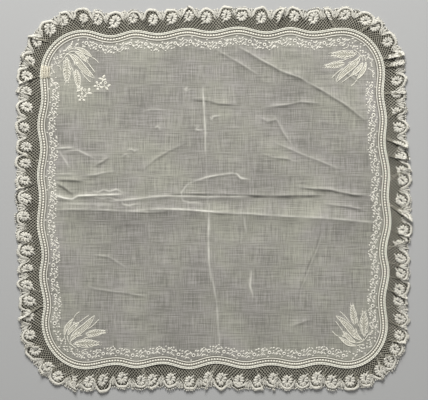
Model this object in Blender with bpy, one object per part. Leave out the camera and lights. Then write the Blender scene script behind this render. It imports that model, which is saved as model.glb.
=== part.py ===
"""A lace handkerchief laid out flat, as two sewn pieces: the sheer lawn square with its corded, wavy hem,
and the gathered lace edging that is whipped to that hem all the way round.

Metres, +Z up. It lies on z = 0 with its right side up, and the origin is under the middle of it. The
outline runs clockwise as seen from above, in eight stretches: a side, a corner, a side, a corner, and so on.
"""

import math

import bmesh
import bpy
import numpy as np
from mathutils import Matrix, Vector
from mathutils.geometry import delaunay_2d_cdt

MM = 0.001

# Cloth
CLOTH_THICK = 1.0 * MM
SEAM_GAP = 0.3 * MM

# Hem line: the middle of the outer cord, in waves, in mm. A row for each outermost and each innermost point
# of a side's waves, in turn, travelling clockwise: how far along the side it lies (x or y), and how far out.
WAVE_COLUMNS = ("along", "out")
HEM_WAVES = {
    "top": (
        (-129.5, 168.2),
        (-102.5, 162.8),
        (-77.5, 168.0),
        (-55.5, 165.0),
        (-25.5, 170.1),
        (-3.5, 167.0),
        (25.0, 171.4),
        (53.5, 166.6),
        (77.0, 170.9),
        (99.5, 166.9),
        (128.5, 170.3),
    ),
    "right": (
        (125.5, 170.6),
        (107.0, 169.3),
        (79.0, 172.7),
        (58.5, 171.2),
        (24.0, 175.8),
        (3.5, 174.5),
        (-22.5, 177.0),
        (-52.5, 172.4),
        (-72.5, 175.1),
        (-101.5, 171.2),
        (-126.5, 173.4),
    ),
    "bottom": (
        (133.5, 168.2),
        (106.5, 164.2),
        (82.0, 168.2),
        (57.5, 165.0),
        (32.5, 168.5),
        (2.5, 163.4),
        (-24.5, 168.9),
        (-50.5, 163.8),
        (-77.5, 168.0),
        (-96.5, 164.7),
        (-127.5, 169.0),
    ),
    "left": (
        (-122.5, 170.6),
        (-106.5, 168.6),
        (-76.5, 172.9),
        (-56.5, 170.5),
        (-24.5, 175.2),
        (1.5, 173.2),
        (23.5, 175.2),
        (50.5, 172.1),
        (73.5, 174.9),
        (101.5, 171.0),
        (123.5, 172.3),
    ),
}
SIDE_ORDER = ("top", "right", "bottom", "left")
CORNER_STARTS = {"top right": "top", "bottom right": "right", "bottom left": "bottom", "top left": "left"}
STRETCHES = 2 * len(SIDE_ORDER)

# Corded hem, from its edge inwards: how far in from the hem line, and how high above the plain cloth.
HEM_STEPS = (
    {"name": "edge", "inward": -1.1 * MM, "high": 0.0},
    {"name": "outer cord", "inward": 0.0, "high": 0.8 * MM},
    {"name": "first groove", "inward": 1.5 * MM, "high": 0.1 * MM},
    {"name": "inner cord", "inward": 3.0 * MM, "high": 0.7 * MM},
    {"name": "second groove", "inward": 4.3 * MM, "high": 0.1 * MM},
    {"name": "fine cord", "inward": 5.5 * MM, "high": 0.35 * MM},
    {"name": "plain cloth", "inward": 6.4 * MM, "high": 0.0},
)
HEM_STATIONS = 240

# Creases left in the lawn by folding, in mm. Each rises to a crest along its line, and falls away to the
# left and right of its direction over those widths.
CREASE_COLUMNS = ("name", "rise", "left", "right", "line")
CREASES = (
    ("half fold", 2.2, 17, 8, ((-160, -13), (-38, -10.5), (0, -14), (118, -20), (162, -26.5))),
    ("above it", 1.2, 5, 9, ((-162, 4), (-142, 0.5), (-92, 5), (0, 2))),
    ("upper quarter fold", 1.3, 7, 6, ((-11, 106), (-8, 77), (-7, 50))),
    ("lower quarter fold", 1.4, 7, 6, ((-5, -16), (-4, -58), (3, -108), (7, -148))),
    ("long diagonal", 1.7, 12, 9, ((25, 154), (67, 130), (98, 116), (129, 97), (154, 80))),
    ("short diagonal", 1.1, 8, 8, ((1, 151), (22, 141), (48, 122))),
    ("right wrinkle", 1.5, 8, 5, ((92, 12), (118, 10), (140, 5), (156, 4))),
    ("lower right wrinkle", 1.1, 6, 7, ((116, -25), (113, -47), (105, -63))),
    ("bottom right wrinkle", 1.0, 8, 7, ((73, -129), (98, -120))),
    ("left wrinkle", 1.2, 6, 6, ((-158, 51), (-130, 50), (-108, 44))),
    ("low left wrinkle", 1.2, 6, 5, ((-158, 19), (-128, 18), (-100, 21))),
)
CREASE_TAPER = 14 * MM

# Points that the lawn's surface is drawn between: along the creases' crests and shoulders, and on a grid.
CREASE_STEP = 9 * MM
CREASE_SHOULDER = 0.55
POINT_CLEAR = 3.5 * MM
LAWN_GRID = 12 * MM
GRID_REACH = 15
GRID_CLEAR = 6 * MM
SAME_POINT = 1e-7

# Lace edging: a straight strip of repeats, gathered to the hem. Widths are from the hem line.
LACE_INNER = 1.1 * MM + SEAM_GAP
LACE_WIDTH = {"top": 19.6 * MM, "right": 19.2 * MM, "bottom": 20.6 * MM, "left": 20.4 * MM}
OUTER_WAVE_SHARE = 0.55
LACE_ROWS = (0.0, 0.52, 1.0)
LIFT_CURVE = 1.2
REPEATS = 84
STATIONS_PER_REPEAT = 6
ARCH_RISE = 2.9 * MM
ARCH_HALF = 0.36
RUFFLE_LIFT = 0.9 * MM

# Pleats of the lace, clockwise. On a side, at is how far along it the pleat lies (x or y, mm). At a corner,
# it is the degrees turned so far. takes is the length of strip that the pleat uses up, and rise its height.
PLEAT_COLUMNS = ("stretch", "at", "takes", "rise")
PLEATS = (
    ("top", -121, 4, 1.8),
    ("top", -106, 2, 1.0),
    ("top", -33, 2, 2.4),
    ("top", 22, 3, 1.4),
    ("top", 65, 4, 2.6),
    ("top", 117, 6, 3.0),
    ("top right", 30, 8, 2.8),
    ("top right", 74, 8, 3.6),
    ("top right", 86, 8, 3.4),
    ("right", 104, 6, 3.2),
    ("right", 85, 4, 2.4),
    ("right", 56, 6, 3.4),
    ("right", 41, 6, 2.2),
    ("right", 23, 8, 3.0),
    ("right", -12, 8, 4.0),
    ("right", -34, 4, 2.2),
    ("right", -46, 4, 2.4),
    ("right", -66, 3, 1.8),
    ("right", -79, 3, 2.0),
    ("right", -94, 4, 3.2),
    ("right", -107, 2, 1.4),
    ("bottom right", 6, 2, 2.4),
    ("bottom right", 18, 4, 2.8),
    ("bottom right", 35, 6, 2.8),
    ("bottom right", 48, 6, 2.4),
    ("bottom right", 62, 4, 2.8),
    ("bottom right", 77, 4, 2.6),
    ("bottom", 110, 4, 2.4),
    ("bottom", 95, 4, 1.8),
    ("bottom", 82, 2, 1.0),
    ("bottom", 63, 4, 1.8),
    ("bottom", 46, 4, 1.6),
    ("bottom", -2, 6, 2.0),
    ("bottom", -68, 8, 2.2),
    ("bottom", -117, 4, 2.2),
    ("bottom left", 6, 3, 1.6),
    ("bottom left", 15, 4, 2.8),
    ("bottom left", 36, 6, 2.6),
    ("bottom left", 66, 3, 3.6),
    ("left", -111, 4, 3.6),
    ("left", -91, 2, 1.4),
    ("left", -71, 2, 1.4),
    ("left", -46, 4, 3.2),
    ("left", 12, 2, 1.8),
    ("left", 41, 2, 2.2),
    ("left", 103, 2, 1.2),
    ("left", 118, 3, 3.2),
    ("top left", 13, 3, 3.4),
    ("top left", 39, 2, 3.2),
    ("top left", 64, 3, 2.2),
)
PLEAT_HALF = 4.5 * MM
PLEAT_CURVE = 1.5

# The outline is measured for length at this distance outside the hem line.
REFERENCE_OUT = 10 * MM
OUTLINE_SAMPLES = 2400

SMOOTH_ANGLE = math.radians(40)
LAWN_COLOUR = (0.38, 0.37, 0.33)
LAWN_ROUGHNESS = 0.85
LACE_COLOUR = (0.80, 0.77, 0.68)
LACE_ROUGHNESS = 0.9


def rows_of(columns, table):
    """A table's rows, each as a dictionary of its named columns."""
    return [dict(zip(columns, row)) for row in table]


def side_place(name, share, out, wave_share):
    """(x, y) at a share of a side's length, moved outwards by out, with that share of its waves' depth."""
    waves = rows_of(WAVE_COLUMNS, HEM_WAVES[name])
    along = waves[0]["along"] + (waves[-1]["along"] - waves[0]["along"]) * share
    direction = 1 if waves[-1]["along"] > waves[0]["along"] else -1
    number = 0
    while number < len(waves) - 2 and (along - waves[number + 1]["along"]) * direction > 0:
        number += 1
    here, following = waves[number], waves[number + 1]
    turn = (along - here["along"]) / (following["along"] - here["along"])
    line = here["out"] + (following["out"] - here["out"]) * (1 - math.cos(math.pi * turn)) / 2
    first_crest = number - number % 2
    before, after = waves[first_crest], waves[first_crest + 2]
    crest_share = (along - before["along"]) / (after["along"] - before["along"])
    crest_line = before["out"] + (after["out"] - before["out"]) * crest_share
    away = (crest_line + (line - crest_line) * wave_share) * MM + out
    along *= MM
    return {
        "top": (along, away),
        "right": (away, along),
        "bottom": (along, -away),
        "left": (-away, along),
    }[name]


def corner_place(before, after, share, out):
    """(x, y) on the quarter ellipse that joins the end of one side to the start of the next."""
    start = side_place(before, 1.0, out, 1.0)
    end = side_place(after, 0.0, out, 1.0)
    turn = math.pi / 2 * share
    if before in ("top", "bottom"):
        middle = (start[0], end[1])
        across = middle[0] + (end[0] - middle[0]) * math.sin(turn)
        upward = middle[1] + (start[1] - middle[1]) * math.cos(turn)
    else:
        middle = (end[0], start[1])
        across = middle[0] + (start[0] - middle[0]) * math.cos(turn)
        upward = middle[1] + (end[1] - middle[1]) * math.sin(turn)
    return across, upward


def sides_at(place):
    """The side that a place lies on or has just left, the one ahead, and the share of the way there."""
    stretch = int(place) % STRETCHES
    before = SIDE_ORDER[stretch // 2]
    after = SIDE_ORDER[(stretch // 2 + 1) % len(SIDE_ORDER)]
    return before, after, place - int(place), stretch % 2 == 1


def outline(place, out=0.0, wave_share=1.0):
    """(x, y) on the outline, moved outwards by out. place runs from 0 to 8, one for each stretch."""
    before, after, share, at_corner = sides_at(place)
    if at_corner:
        return corner_place(before, after, share, out)
    return side_place(before, share, out, wave_share)


def lace_width(place):
    """The lace's width at its valleys: one for each side, changing evenly round the corners."""
    before, after, share, at_corner = sides_at(place)
    if at_corner:
        return LACE_WIDTH[before] + (LACE_WIDTH[after] - LACE_WIDTH[before]) * share
    return LACE_WIDTH[before]


def measured_outline():
    """(places, lengths): the distance travelled along the reference line up to each place."""
    places = np.linspace(0, STRETCHES, OUTLINE_SAMPLES + 1)
    line = np.array([outline(place, REFERENCE_OUT, OUTER_WAVE_SHARE) for place in places])
    steps = np.linalg.norm(np.diff(line, axis=0), axis=1)
    return places, np.concatenate([[0.0], np.cumsum(steps)])


def crease_points(crease):
    return [Vector((x * MM, y * MM)) for x, y in crease["line"]]


def crease_lift(crease, place):
    """The lift of one crease at a place: the nearest point of its line sets the distance and the side."""
    points = crease_points(crease)
    runs = list(zip(points, points[1:]))
    total = sum((end - start).length for start, end in runs)
    nearest = None
    travelled = 0.0
    for start, end in runs:
        run = end - start
        share = max(0.0, min(1.0, (place - start).dot(run) / run.length_squared))
        away = (place - start - run * share).length
        if nearest is None or away < nearest["away"]:
            on_left = run.x * (place.y - start.y) - run.y * (place.x - start.x) >= 0
            nearest = {"away": away, "travelled": travelled + share * run.length, "on_left": on_left}
        travelled += run.length
    width = crease["left" if nearest["on_left"] else "right"] * MM
    if nearest["away"] >= width:
        return 0.0
    from_end = min(nearest["travelled"], total - nearest["travelled"])
    return crease["rise"] * MM * min(1.0, from_end / CREASE_TAPER) * (1 - nearest["away"] / width) ** 2


def lawn_lift(place):
    """How far the creases lift the lawn at a place."""
    return max(crease_lift(crease, place) for crease in rows_of(CREASE_COLUMNS, CREASES))


def is_inside(ring, place):
    """True if a place lies within a closed ring of points."""
    inside = False
    for start, end in zip(ring, ring[1:] + ring[:1]):
        if (start.y > place.y) != (end.y > place.y):
            crossing = start.x + (place.y - start.y) / (end.y - start.y) * (end.x - start.x)
            if place.x < crossing:
                inside = not inside
    return inside


def crease_candidates():
    """Points along the creases: their crests first, and then their shoulders."""
    for shoulder in (0, 1, -1):
        for crease in rows_of(CREASE_COLUMNS, CREASES):
            width = crease["left" if shoulder > 0 else "right"] * MM
            points = crease_points(crease)
            for start, end in zip(points, points[1:]):
                run = end - start
                sideways = Vector((-run.y, run.x)).normalized() * width * shoulder * CREASE_SHOULDER
                steps = max(1, round(run.length / CREASE_STEP))
                for step in range(steps + 1):
                    yield start + run * (step / steps) + sideways


def grid_candidates():
    """Points of an even grid, each second row set half a step over."""
    for row in range(-GRID_REACH, GRID_REACH + 1):
        shift = LAWN_GRID / 2 * (row % 2)
        for column in range(-GRID_REACH, GRID_REACH + 1):
            yield Vector((column * LAWN_GRID + shift, row * LAWN_GRID))


def lawn_points(ring):
    """Points within the hem that the lawn is drawn between, none too near another."""
    chosen = []
    for candidates, clear in ((crease_candidates(), POINT_CLEAR), (grid_candidates(), GRID_CLEAR)):
        for place in candidates:
            free = all((place - other).length > clear for other in ring + chosen)
            if free and is_inside(ring, place):
                chosen.append(place)
    return chosen


def make_object(name, points, faces, material):
    """A closed body from its points and faces, its faces turned outwards."""
    mesh = bpy.data.meshes.new(name)
    mesh.from_pydata(points, [], faces)
    shape = bmesh.new()
    shape.from_mesh(mesh)
    bmesh.ops.recalc_face_normals(shape, faces=shape.faces)
    shape.to_mesh(mesh)
    shape.free()
    mesh.materials.append(material)
    mesh.shade_smooth()
    mesh.set_sharp_from_angle(angle=SMOOTH_ANGLE)
    made = bpy.data.objects.new(name, mesh)
    bpy.context.scene.collection.objects.link(made)
    return made


def add_points(points, new):
    """Adds new points and gives their numbers."""
    first = len(points)
    points.extend(new)
    return list(range(first, len(points)))


def faces_between(ring, next_ring):
    """Four-sided faces between two closed rings of point numbers."""
    turned = ring[1:] + ring[:1]
    next_turned = next_ring[1:] + next_ring[:1]
    return list(zip(ring, turned, next_turned, next_ring))


def build_lawn(places, lengths, material):
    """The lawn with its hem: rings of the corded hem, then a creased surface inside the last ring."""
    stations = np.interp(np.arange(HEM_STATIONS) * lengths[-1] / HEM_STATIONS, lengths, places)
    points = []
    rings = []
    for step in HEM_STEPS:
        height = CLOTH_THICK + step["high"]
        ring = [(*outline(station, -step["inward"]), height) for station in stations]
        rings.append(add_points(points, ring))
    under_edge = add_points(points, [(points[i][0], points[i][1], 0.0) for i in rings[0]])
    under_plain = add_points(points, [(points[i][0], points[i][1], 0.0) for i in rings[-1]])

    within = [Vector(points[i][:2]) for i in rings[-1]]
    count = len(within)
    edges = [(i, (i + 1) % count) for i in range(count)]
    flat, _, triangles, *_ = delaunay_2d_cdt(within + lawn_points(within), edges, [], 1, SAME_POINT)
    lifts = [lawn_lift(place) for place in flat[count:]]
    loose = list(zip(flat[count:], lifts))
    top = rings[-1] + add_points(points, [(p.x, p.y, CLOTH_THICK + lift) for p, lift in loose])
    under = under_plain + add_points(points, [(p.x, p.y, lift) for p, lift in loose])

    faces = [tuple(top[i] for i in triangle) for triangle in triangles]
    faces += [tuple(under[i] for i in reversed(triangle)) for triangle in triangles]
    for ring, next_ring in zip(rings, rings[1:]):
        faces += faces_between(ring, next_ring)
    faces += faces_between(rings[0], under_edge)
    faces += faces_between(under_edge, under_plain)
    return make_object("lawn", points, faces, material)


def placed_pleats(places, lengths):
    """Each pleat, with where its middle lies along the flat strip, and the whole strip's length."""
    pleats = []
    used = 0.0
    for pleat in rows_of(PLEAT_COLUMNS, PLEATS):
        if pleat["stretch"] in CORNER_STARTS:
            share = pleat["at"] / 90
            place = 2 * SIDE_ORDER.index(CORNER_STARTS[pleat["stretch"]]) + 1 + share
        else:
            waves = rows_of(WAVE_COLUMNS, HEM_WAVES[pleat["stretch"]])
            share = (pleat["at"] - waves[0]["along"]) / (waves[-1]["along"] - waves[0]["along"])
            place = 2 * SIDE_ORDER.index(pleat["stretch"]) + share
        takes = pleat["takes"] * MM
        middle = float(np.interp(place, places, lengths)) + used + takes / 2
        pleats.append({"middle": middle, "takes": takes, "rise": pleat["rise"] * MM})
        used += takes
    return pleats, lengths[-1] + used


def smooth_step(value):
    value = max(0.0, min(1.0, value))
    return value * value * (3 - 2 * value)


def gathered(flat, pleats):
    """Where a point of the flat strip comes to lie along the outline once the pleats are taken up."""
    taken = 0.0
    for pleat in pleats:
        taken += pleat["takes"] * smooth_step((flat - pleat["middle"]) / (2 * PLEAT_HALF) + 0.5)
    return flat - taken


def lace_lift(flat, repeat, pleats):
    """The height of the lace's outer edge: a ruffle in each repeat, and the pleats."""
    ruffle = RUFFLE_LIFT * (1 - math.cos(2 * math.pi * flat / repeat)) / 2
    heights = [ruffle]
    for pleat in pleats:
        nearness = max(0.0, 1 - abs(flat - pleat["middle"]) / PLEAT_HALF)
        heights.append(pleat["rise"] * nearness**PLEAT_CURVE)
    return max(heights)


def arch_swell(flat, repeat):
    """How far the edge swells outwards over the flower in the middle of each repeat."""
    from_flower = abs(flat / repeat % 1.0 - 0.5) / ARCH_HALF
    return ARCH_RISE * math.sqrt(max(0.0, 1 - from_flower**2))


def build_lace(places, lengths, material):
    """The gathered lace: a closed strip of stations, each a short row from the hem to the scalloped edge."""
    pleats, strip = placed_pleats(places, lengths)
    repeat = strip / REPEATS
    stations = [number * repeat / STATIONS_PER_REPEAT for number in range(REPEATS * STATIONS_PER_REPEAT)]
    for pleat in pleats:
        nearest = min(range(len(stations)), key=lambda number: abs(stations[number] - pleat["middle"]))
        stations[nearest] = pleat["middle"]
    points = []
    upper = [[] for _ in LACE_ROWS]
    lower = [[] for _ in LACE_ROWS]
    for flat in stations:
        place = float(np.interp(gathered(flat, pleats) % lengths[-1], lengths, places)) % STRETCHES
        inner = Vector(outline(place, LACE_INNER))
        outer = Vector(outline(place, lace_width(place) + arch_swell(flat, repeat), OUTER_WAVE_SHARE))
        lift = lace_lift(flat, repeat, pleats)
        for row, across in enumerate(LACE_ROWS):
            x, y = inner.lerp(outer, across)
            height = lift * across**LIFT_CURVE
            lower[row] += add_points(points, [(x, y, height)])
            upper[row] += add_points(points, [(x, y, height + CLOTH_THICK)])
    rings = upper + lower[::-1]
    faces = []
    for ring, next_ring in zip(rings, rings[1:] + rings[:1]):
        faces += faces_between(ring, next_ring)
    return make_object("lace_edging", points, faces, material)


def make_material(name, colour, roughness):
    made = bpy.data.materials.new(name)
    made.use_nodes = True
    shader = made.node_tree.nodes["Principled BSDF"]
    shader.inputs["Base Color"].default_value = (*colour, 1.0)
    shader.inputs["Roughness"].default_value = roughness
    shader.inputs["Metallic"].default_value = 0.0
    return made


def centre_on_floor(pieces):
    """Moves the pieces' points together, so that the middle of their box stands over the origin."""
    corners = [point.co for piece in pieces for point in piece.data.vertices]
    middle_x = (min(c.x for c in corners) + max(c.x for c in corners)) / 2
    middle_y = (min(c.y for c in corners) + max(c.y for c in corners)) / 2
    floor = min(c.z for c in corners)
    for piece in pieces:
        piece.data.transform(Matrix.Translation((-middle_x, -middle_y, -floor)))


for old in list(bpy.data.objects):
    bpy.data.objects.remove(old)
outline_places, outline_lengths = measured_outline()
lawn_cloth = make_material("sheer lawn", LAWN_COLOUR, LAWN_ROUGHNESS)
lace_cloth = make_material("lace thread", LACE_COLOUR, LACE_ROUGHNESS)
lawn = build_lawn(outline_places, outline_lengths, lawn_cloth)
lace_edging = build_lace(outline_places, outline_lengths, lace_cloth)
centre_on_floor([lawn, lace_edging])
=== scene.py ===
import math

import bpy
import numpy as np
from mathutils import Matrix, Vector
from mathutils.geometry import delaunay_2d_cdt


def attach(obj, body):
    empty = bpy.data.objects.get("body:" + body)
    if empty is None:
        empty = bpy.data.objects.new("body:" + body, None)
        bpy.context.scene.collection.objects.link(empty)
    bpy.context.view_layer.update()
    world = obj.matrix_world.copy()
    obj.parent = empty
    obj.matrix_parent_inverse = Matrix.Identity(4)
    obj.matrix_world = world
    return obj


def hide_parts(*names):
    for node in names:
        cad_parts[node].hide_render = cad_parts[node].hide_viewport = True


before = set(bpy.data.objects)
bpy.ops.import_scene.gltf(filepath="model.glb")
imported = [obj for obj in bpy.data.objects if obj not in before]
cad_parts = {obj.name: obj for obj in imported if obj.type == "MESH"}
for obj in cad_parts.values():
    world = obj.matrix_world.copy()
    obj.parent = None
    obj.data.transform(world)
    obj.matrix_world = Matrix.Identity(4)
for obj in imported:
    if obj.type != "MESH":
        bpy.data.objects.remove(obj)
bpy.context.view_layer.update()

# The studio: a plain pale floor, a wide soft lamp low beyond the handkerchief's top edge, which rakes across
# its creases and stitches, and a weak one overhead. The camera looks straight down on it.
FLOOR_SPAN = 12.0
FLOOR_COLOUR = (0.47, 0.47, 0.46)
RAKING_LAMP = {"place": (-0.20, 1.75, 1.07), "span": 0.85, "power": 60.0}
OVERHEAD_LAMP = {"place": (0.25, -0.35, 1.9), "span": 1.6, "power": 7.2}
ROOM_LIGHT = 0.12
TONE_CURVE = "Standard"
CAMERA_LENS = 100.0
SENSOR_WIDTH = 36.0
VIEW_WIDTH = 0.428
VIEW_MIDDLE = (0.0005, -0.0015)


def add_soft_lamp(name, lamp):
    light = bpy.data.lights.new(name, "AREA")
    light.shape = "SQUARE"
    light.size = lamp["span"]
    light.energy = lamp["power"]
    placed = bpy.data.objects.new(name, light)
    placed.location = lamp["place"]
    placed.rotation_euler = (-Vector(lamp["place"])).to_track_quat("-Z", "Y").to_euler()
    bpy.context.scene.collection.objects.link(placed)


add_soft_lamp("raking lamp", RAKING_LAMP)
add_soft_lamp("overhead lamp", OVERHEAD_LAMP)
room = bpy.data.worlds.new("studio room")
room.use_nodes = True
room.node_tree.nodes["Background"].inputs["Color"].default_value = (1.0, 1.0, 1.0, 1.0)
room.node_tree.nodes["Background"].inputs["Strength"].default_value = ROOM_LIGHT
bpy.context.scene.world = room
bpy.context.scene.view_settings.view_transform = TONE_CURVE

camera_data = bpy.data.cameras.new("camera")
camera_data.lens = CAMERA_LENS
camera_data.sensor_width = SENSOR_WIDTH
camera_data.clip_start = 0.05
camera = bpy.data.objects.new("camera", camera_data)
camera.location = (*VIEW_MIDDLE, VIEW_WIDTH * CAMERA_LENS / SENSOR_WIDTH)
bpy.context.scene.collection.objects.link(camera)
bpy.context.scene.camera = camera

bpy.ops.object.select_all(action="DESELECT")
bpy.ops.mesh.primitive_plane_add(size=FLOOR_SPAN)
floor = bpy.context.object
floor.name = "floor"
floor_finish = bpy.data.materials.new("pale floor")
floor_finish.use_nodes = True
floor_finish.node_tree.nodes["Principled BSDF"].inputs["Base Color"].default_value = (*FLOOR_COLOUR, 1.0)
floor_finish.node_tree.nodes["Principled BSDF"].inputs["Roughness"].default_value = 0.9
floor.data.materials.append(floor_finish)

# The lawn: a square of sheer plain-woven cotton with rounded corners and a wavy edge, cut in one piece. It
# keeps the creases of the folds it was put away in, and its threads are thick and thin. All in mm from here.
MM = 0.001
LAWN_THICK = 0.3
LAWN_UNDERSIDE = 0.45
EDGE_TO_HEM_LINE = 1.1
HEM_SAMPLES = 1800
LAWN_RING_STATIONS = 620
LAWN_GRID = 2.0
LAWN_RING_CLEAR = 1.3
CREASE_TAPER = 14.0
# left and right are the widths of a crease's two slopes, the next column how pale its line is, with wear and a painted
# highlight, and shade how dark the painted shade is in the line beside it on the right, where the crease stands over
# the cloth.
CREASE_COLUMNS = ("name", "rise", "left", "right", "worn", "shade", "line")
CREASES = (
    ("half fold, left", 2.4, 15, 20, 0.4, 0.3, ((-160, -11), (-125, -10.5), (-106, -11.5), (-66, -13.6), (-46, -12))),
    ("half fold", 2.5, 15, 24, 0.5, 0.25, ((-80, -11.5), (-56, -10.5), (-36, -10.5), (-6, -13), (36, -15), (60, -17))),
    ("half fold, right", 2.4, 15, 20, 0.5, 0.3, ((30, -14.8), (60, -17), (118, -20), (162, -24))),
    ("its dark middle", 0.0, 1, 1, 0.2, 0.9, ((-80, -12.5), (-66, -13.2), (-46, -12.6))),
    ("its dark right", 0.0, 1, 1, 0.6, 0.8, ((-8, -13), (10, -14.2), (32, -15))),
    ("its bright middle", 0.0, 1, 1, 1.1, 0.0, ((-64, -11), (-56, -10.5), (-36, -10.5), (-14, -12), (12, -14))),
    ("above it, left", 1.6, 4, 7, 1.2, 0.15, ((-164, 5), (-149, 0.3), (-141.5, -0.8), (-135, 2.7), (-109, 3.6), (-90, 4.2))),
    ("above it", 1.3, 4, 8, 0.55, 0.0, ((-104, -2.5), (-93, -1.7), (-78, -0.9), (-63, 1.5), (-43, 2.5), (-8, 1.5), (40, 2))),
    ("above it, right", 1.2, 6, 3.5, 0.1, 0.7, ((-49, 5.5), (-8, 4.8), (28, 4), (70, 3), (110, 4))),
    ("between them", 0.6, 3, 3, 0.35, 0.1, ((-158, -4), (-142, -5), (-120, -5.5), (-96, -6.5))),
    ("crinkle over it", 0.6, 2, 2, 0.8, 0.3, ((-122, 8), (-115, 6.5), (-110, 8.5), (-104, 7), (-97, 9), (-90, 6))),
    ("crinkle under it", 0.5, 2, 2, 0.6, 0.2, ((-120, 1.5), (-110, 0), (-104, 1), (-97, -1.5), (-88, -2))),
    ("crinkle beside it", 0.5, 2, 2, 0.5, 0.2, ((-92, -1), (-90, -6), (-84, -7), (-76, -5))),
    ("below it", 0.5, 3, 3, 0.05, 0.6, ((-96, -24.5), (-82, -25), (-68, -24.5))),
    ("upper quarter fold", 0.7, 2.5, 2.5, 0.8, 0.1, ((-11, 112), (-9.5, 92), (-8, 62), (-8, 46))),
    ("quarter fold", 0.4, 2.5, 2.5, 0.16, 0.0, ((-8, 62), (-7, 30), (-5, -12))),
    ("lower quarter fold", 0.8, 3, 2.5, 0.75, 0.1, ((-4.5, -4), (-5, -46), (-4.5, -64), (-2, -84))),
    ("low quarter fold", 0.6, 3, 2.5, 0.45, 0.0, ((-2.5, -72), (3, -103), (6.5, -150))),
    ("long diagonal", 1.6, 8, 5, 0.5, 0.35, ((25, 152), (49, 138), (67, 128), (86, 121), (98, 114))),
    ("long diagonal, low", 1.5, 8, 5, 0.3, 0.5, ((92, 118), (129, 96), (154, 77))),
    ("short diagonal", 0.9, 5, 4, 0.3, 0.2, ((1, 150), (22, 138), (48, 122))),
    ("upper wrinkle", 0.8, 4, 3, 0.05, 0.6, ((-25, 100), (-4, 98), (5, 95), (30, 94))),
    ("upper right wrinkle", 1.1, 5, 4, 0.4, 0.3, ((47, 91), (74, 94), (87, 97), (108, 95))),
    ("upper right crossing", 0.7, 4, 3, 0.25, 0.2, ((42, 84), (54, 77), (63, 79), (74, 63))),
    ("right crossing", 0.8, 4, 3, 0.3, 0.1, ((47, 46), (60, 41), (73, 40), (86, 36))),
    ("right falling crease", 0.8, 4, 4, 0.25, 0.15, ((60, 84), (70, 66), (82, 48))),
    ("right long crease", 0.9, 6, 5, 0.3, 0.2, ((60, 57), (82, 47), (105, 38), (128, 29))),
    ("middle faint crease", 0.6, 4, 4, 0.1, 0.35, ((-74, 27), (-58, 40), (-46, 47), (-26, 57))),
    ("short low crease", 0.5, 2, 2, 0.75, 0.0, ((38, -71), (36.5, -87.5), (40, -99))),
    ("low crinkle", 0.4, 2, 2, 0.4, 0.1, ((30.5, -18), (31.5, -27), (33, -35))),
    ("short upper crease", 0.5, 3, 3, 0.3, 0.1, ((-72, 87), (-62, 89), (-48, 88.5))),
    ("right wrinkle", 1.5, 5, 4, 0.35, 0.8, ((84, 12), (102, 10), (118, 9), (140, 4), (156, 4))),
    ("second right wrinkle", 1.0, 4, 4, 0.2, 0.5, ((108, -4), (118, -6), (136, -8), (156, -13))),
    ("lower right wrinkle", 1.0, 4, 5, 0.1, 0.6, ((109, -32), (104, -50), (97, -66), (86, -96))),
    ("bottom right wrinkle", 0.8, 6, 5, 0.1, 0.3, ((73, -129), (98, -120))),
    ("left edge wrinkle", 0.8, 3, 3, 0.7, 0.5, ((-160, 50), (-150, 50.5), (-137, 50.5))),
    ("left wrinkle", 0.7, 3, 3, 0.5, 0.05, ((-150, 47), (-135, 48), (-128, 44.5), (-118, 39.5))),
    ("left corner crease", 0.5, 2, 2, 0.5, 0.0, ((-155, 48), (-149, 39), (-144, 31))),
    ("left falling crease", 0.7, 3, 3, 0.1, 0.5, ((-121, 32), (-111, 37), (-103, 42.5))),
    ("low left wrinkle", 1.1, 6, 4, 0.15, 1.0, ((-160, 19.5), (-146, 19), (-128, 18))),
    ("lowest left wrinkle", 1.0, 5, 4, 0.1, 0.8, ((-160, 18), (-148, 11), (-138, 3))),
    ("short left wrinkle", 0.8, 4, 4, 0.45, 0.2, ((-134, 23), (-117.5, 24), (-110, 25.7), (-97, 28))),
    ("left edge crease", 0.7, 4, 4, 0.3, 0.1, ((-160, 24), (-150, 24.5), (-138, 24))),
    ("middle zigzag", 0.7, 2.5, 2.5, 0.8, 0.2, ((-22, 16.5), (-5.5, 21.5), (18.5, 25.5), (23, 24.5))),
    ("its tail", 0.5, 2, 2, 0.9, 0.2, ((21, 25), (23.5, 24.5), (27, 20.5), (30, 20), (35, 19.5))),
    ("its loop", 0.4, 2, 2, 0.5, 0.1, ((-20, 17.5), (-27, 13), (-32, 6), (-31, -2), (-24, -4), (-12, -4))),
    ("small crinkle", 0.5, 2, 2, 0.55, 0.3, ((-4, 82), (-1.5, 79), (-0.5, 82), (8, 83))),
    ("second crinkle", 0.5, 2, 2, 0.55, 0.3, ((-20, 73), (-15, 72), (-18, 68.5), (-10, 67.5))),
    ("third crinkle", 0.5, 2, 2, 0.5, 0.3, ((-30, 109), (-26, 110.5), (-28, 107.5), (-23, 109))),
    ("fourth crinkle", 0.5, 2, 2, 0.5, 0.3, ((-59, 70.5), (-56, 72), (-54, 70.5))),
    ("fifth crinkle", 0.5, 2, 2, 0.5, 0.3, ((-87, 48), (-82, 49), (-79, 47.5), (-76, 49))),
    ("sixth crinkle", 0.5, 2, 2, 0.5, 0.3, ((-92, 42), (-88, 44), (-85, 42.5))),
    ("corner crease", 0.8, 4, 3, 0.3, 0.3, ((126, 131), (138.5, 121.5), (150, 112))),
    ("low left crinkle", 0.6, 4, 3, 0.3, 0.2, ((-120, -56), (-104, -58.5), (-87, -69))),
    ("lowest left crinkle", 0.5, 3, 3, 0.25, 0.3, ((-128, -86), (-117.5, -90.5), (-93, -93.5), (-64, -98))),
)
CREASE_ROWS = (-1.7, -0.8, 0.0, 0.8, 1.7)
SLUB_WARM = (0.500, 0.492, 0.410)
SLUB_COOL = (0.510, 0.483, 0.450)
SLUB_DARK = (0.225, 0.218, 0.190)
# The colours of the creases' pale lines, of wear and a painted highlight, and of the painted shade beside them.
WEAR_AND_HIGHLIGHT_COLOUR = (0.90, 0.88, 0.78)
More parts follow.
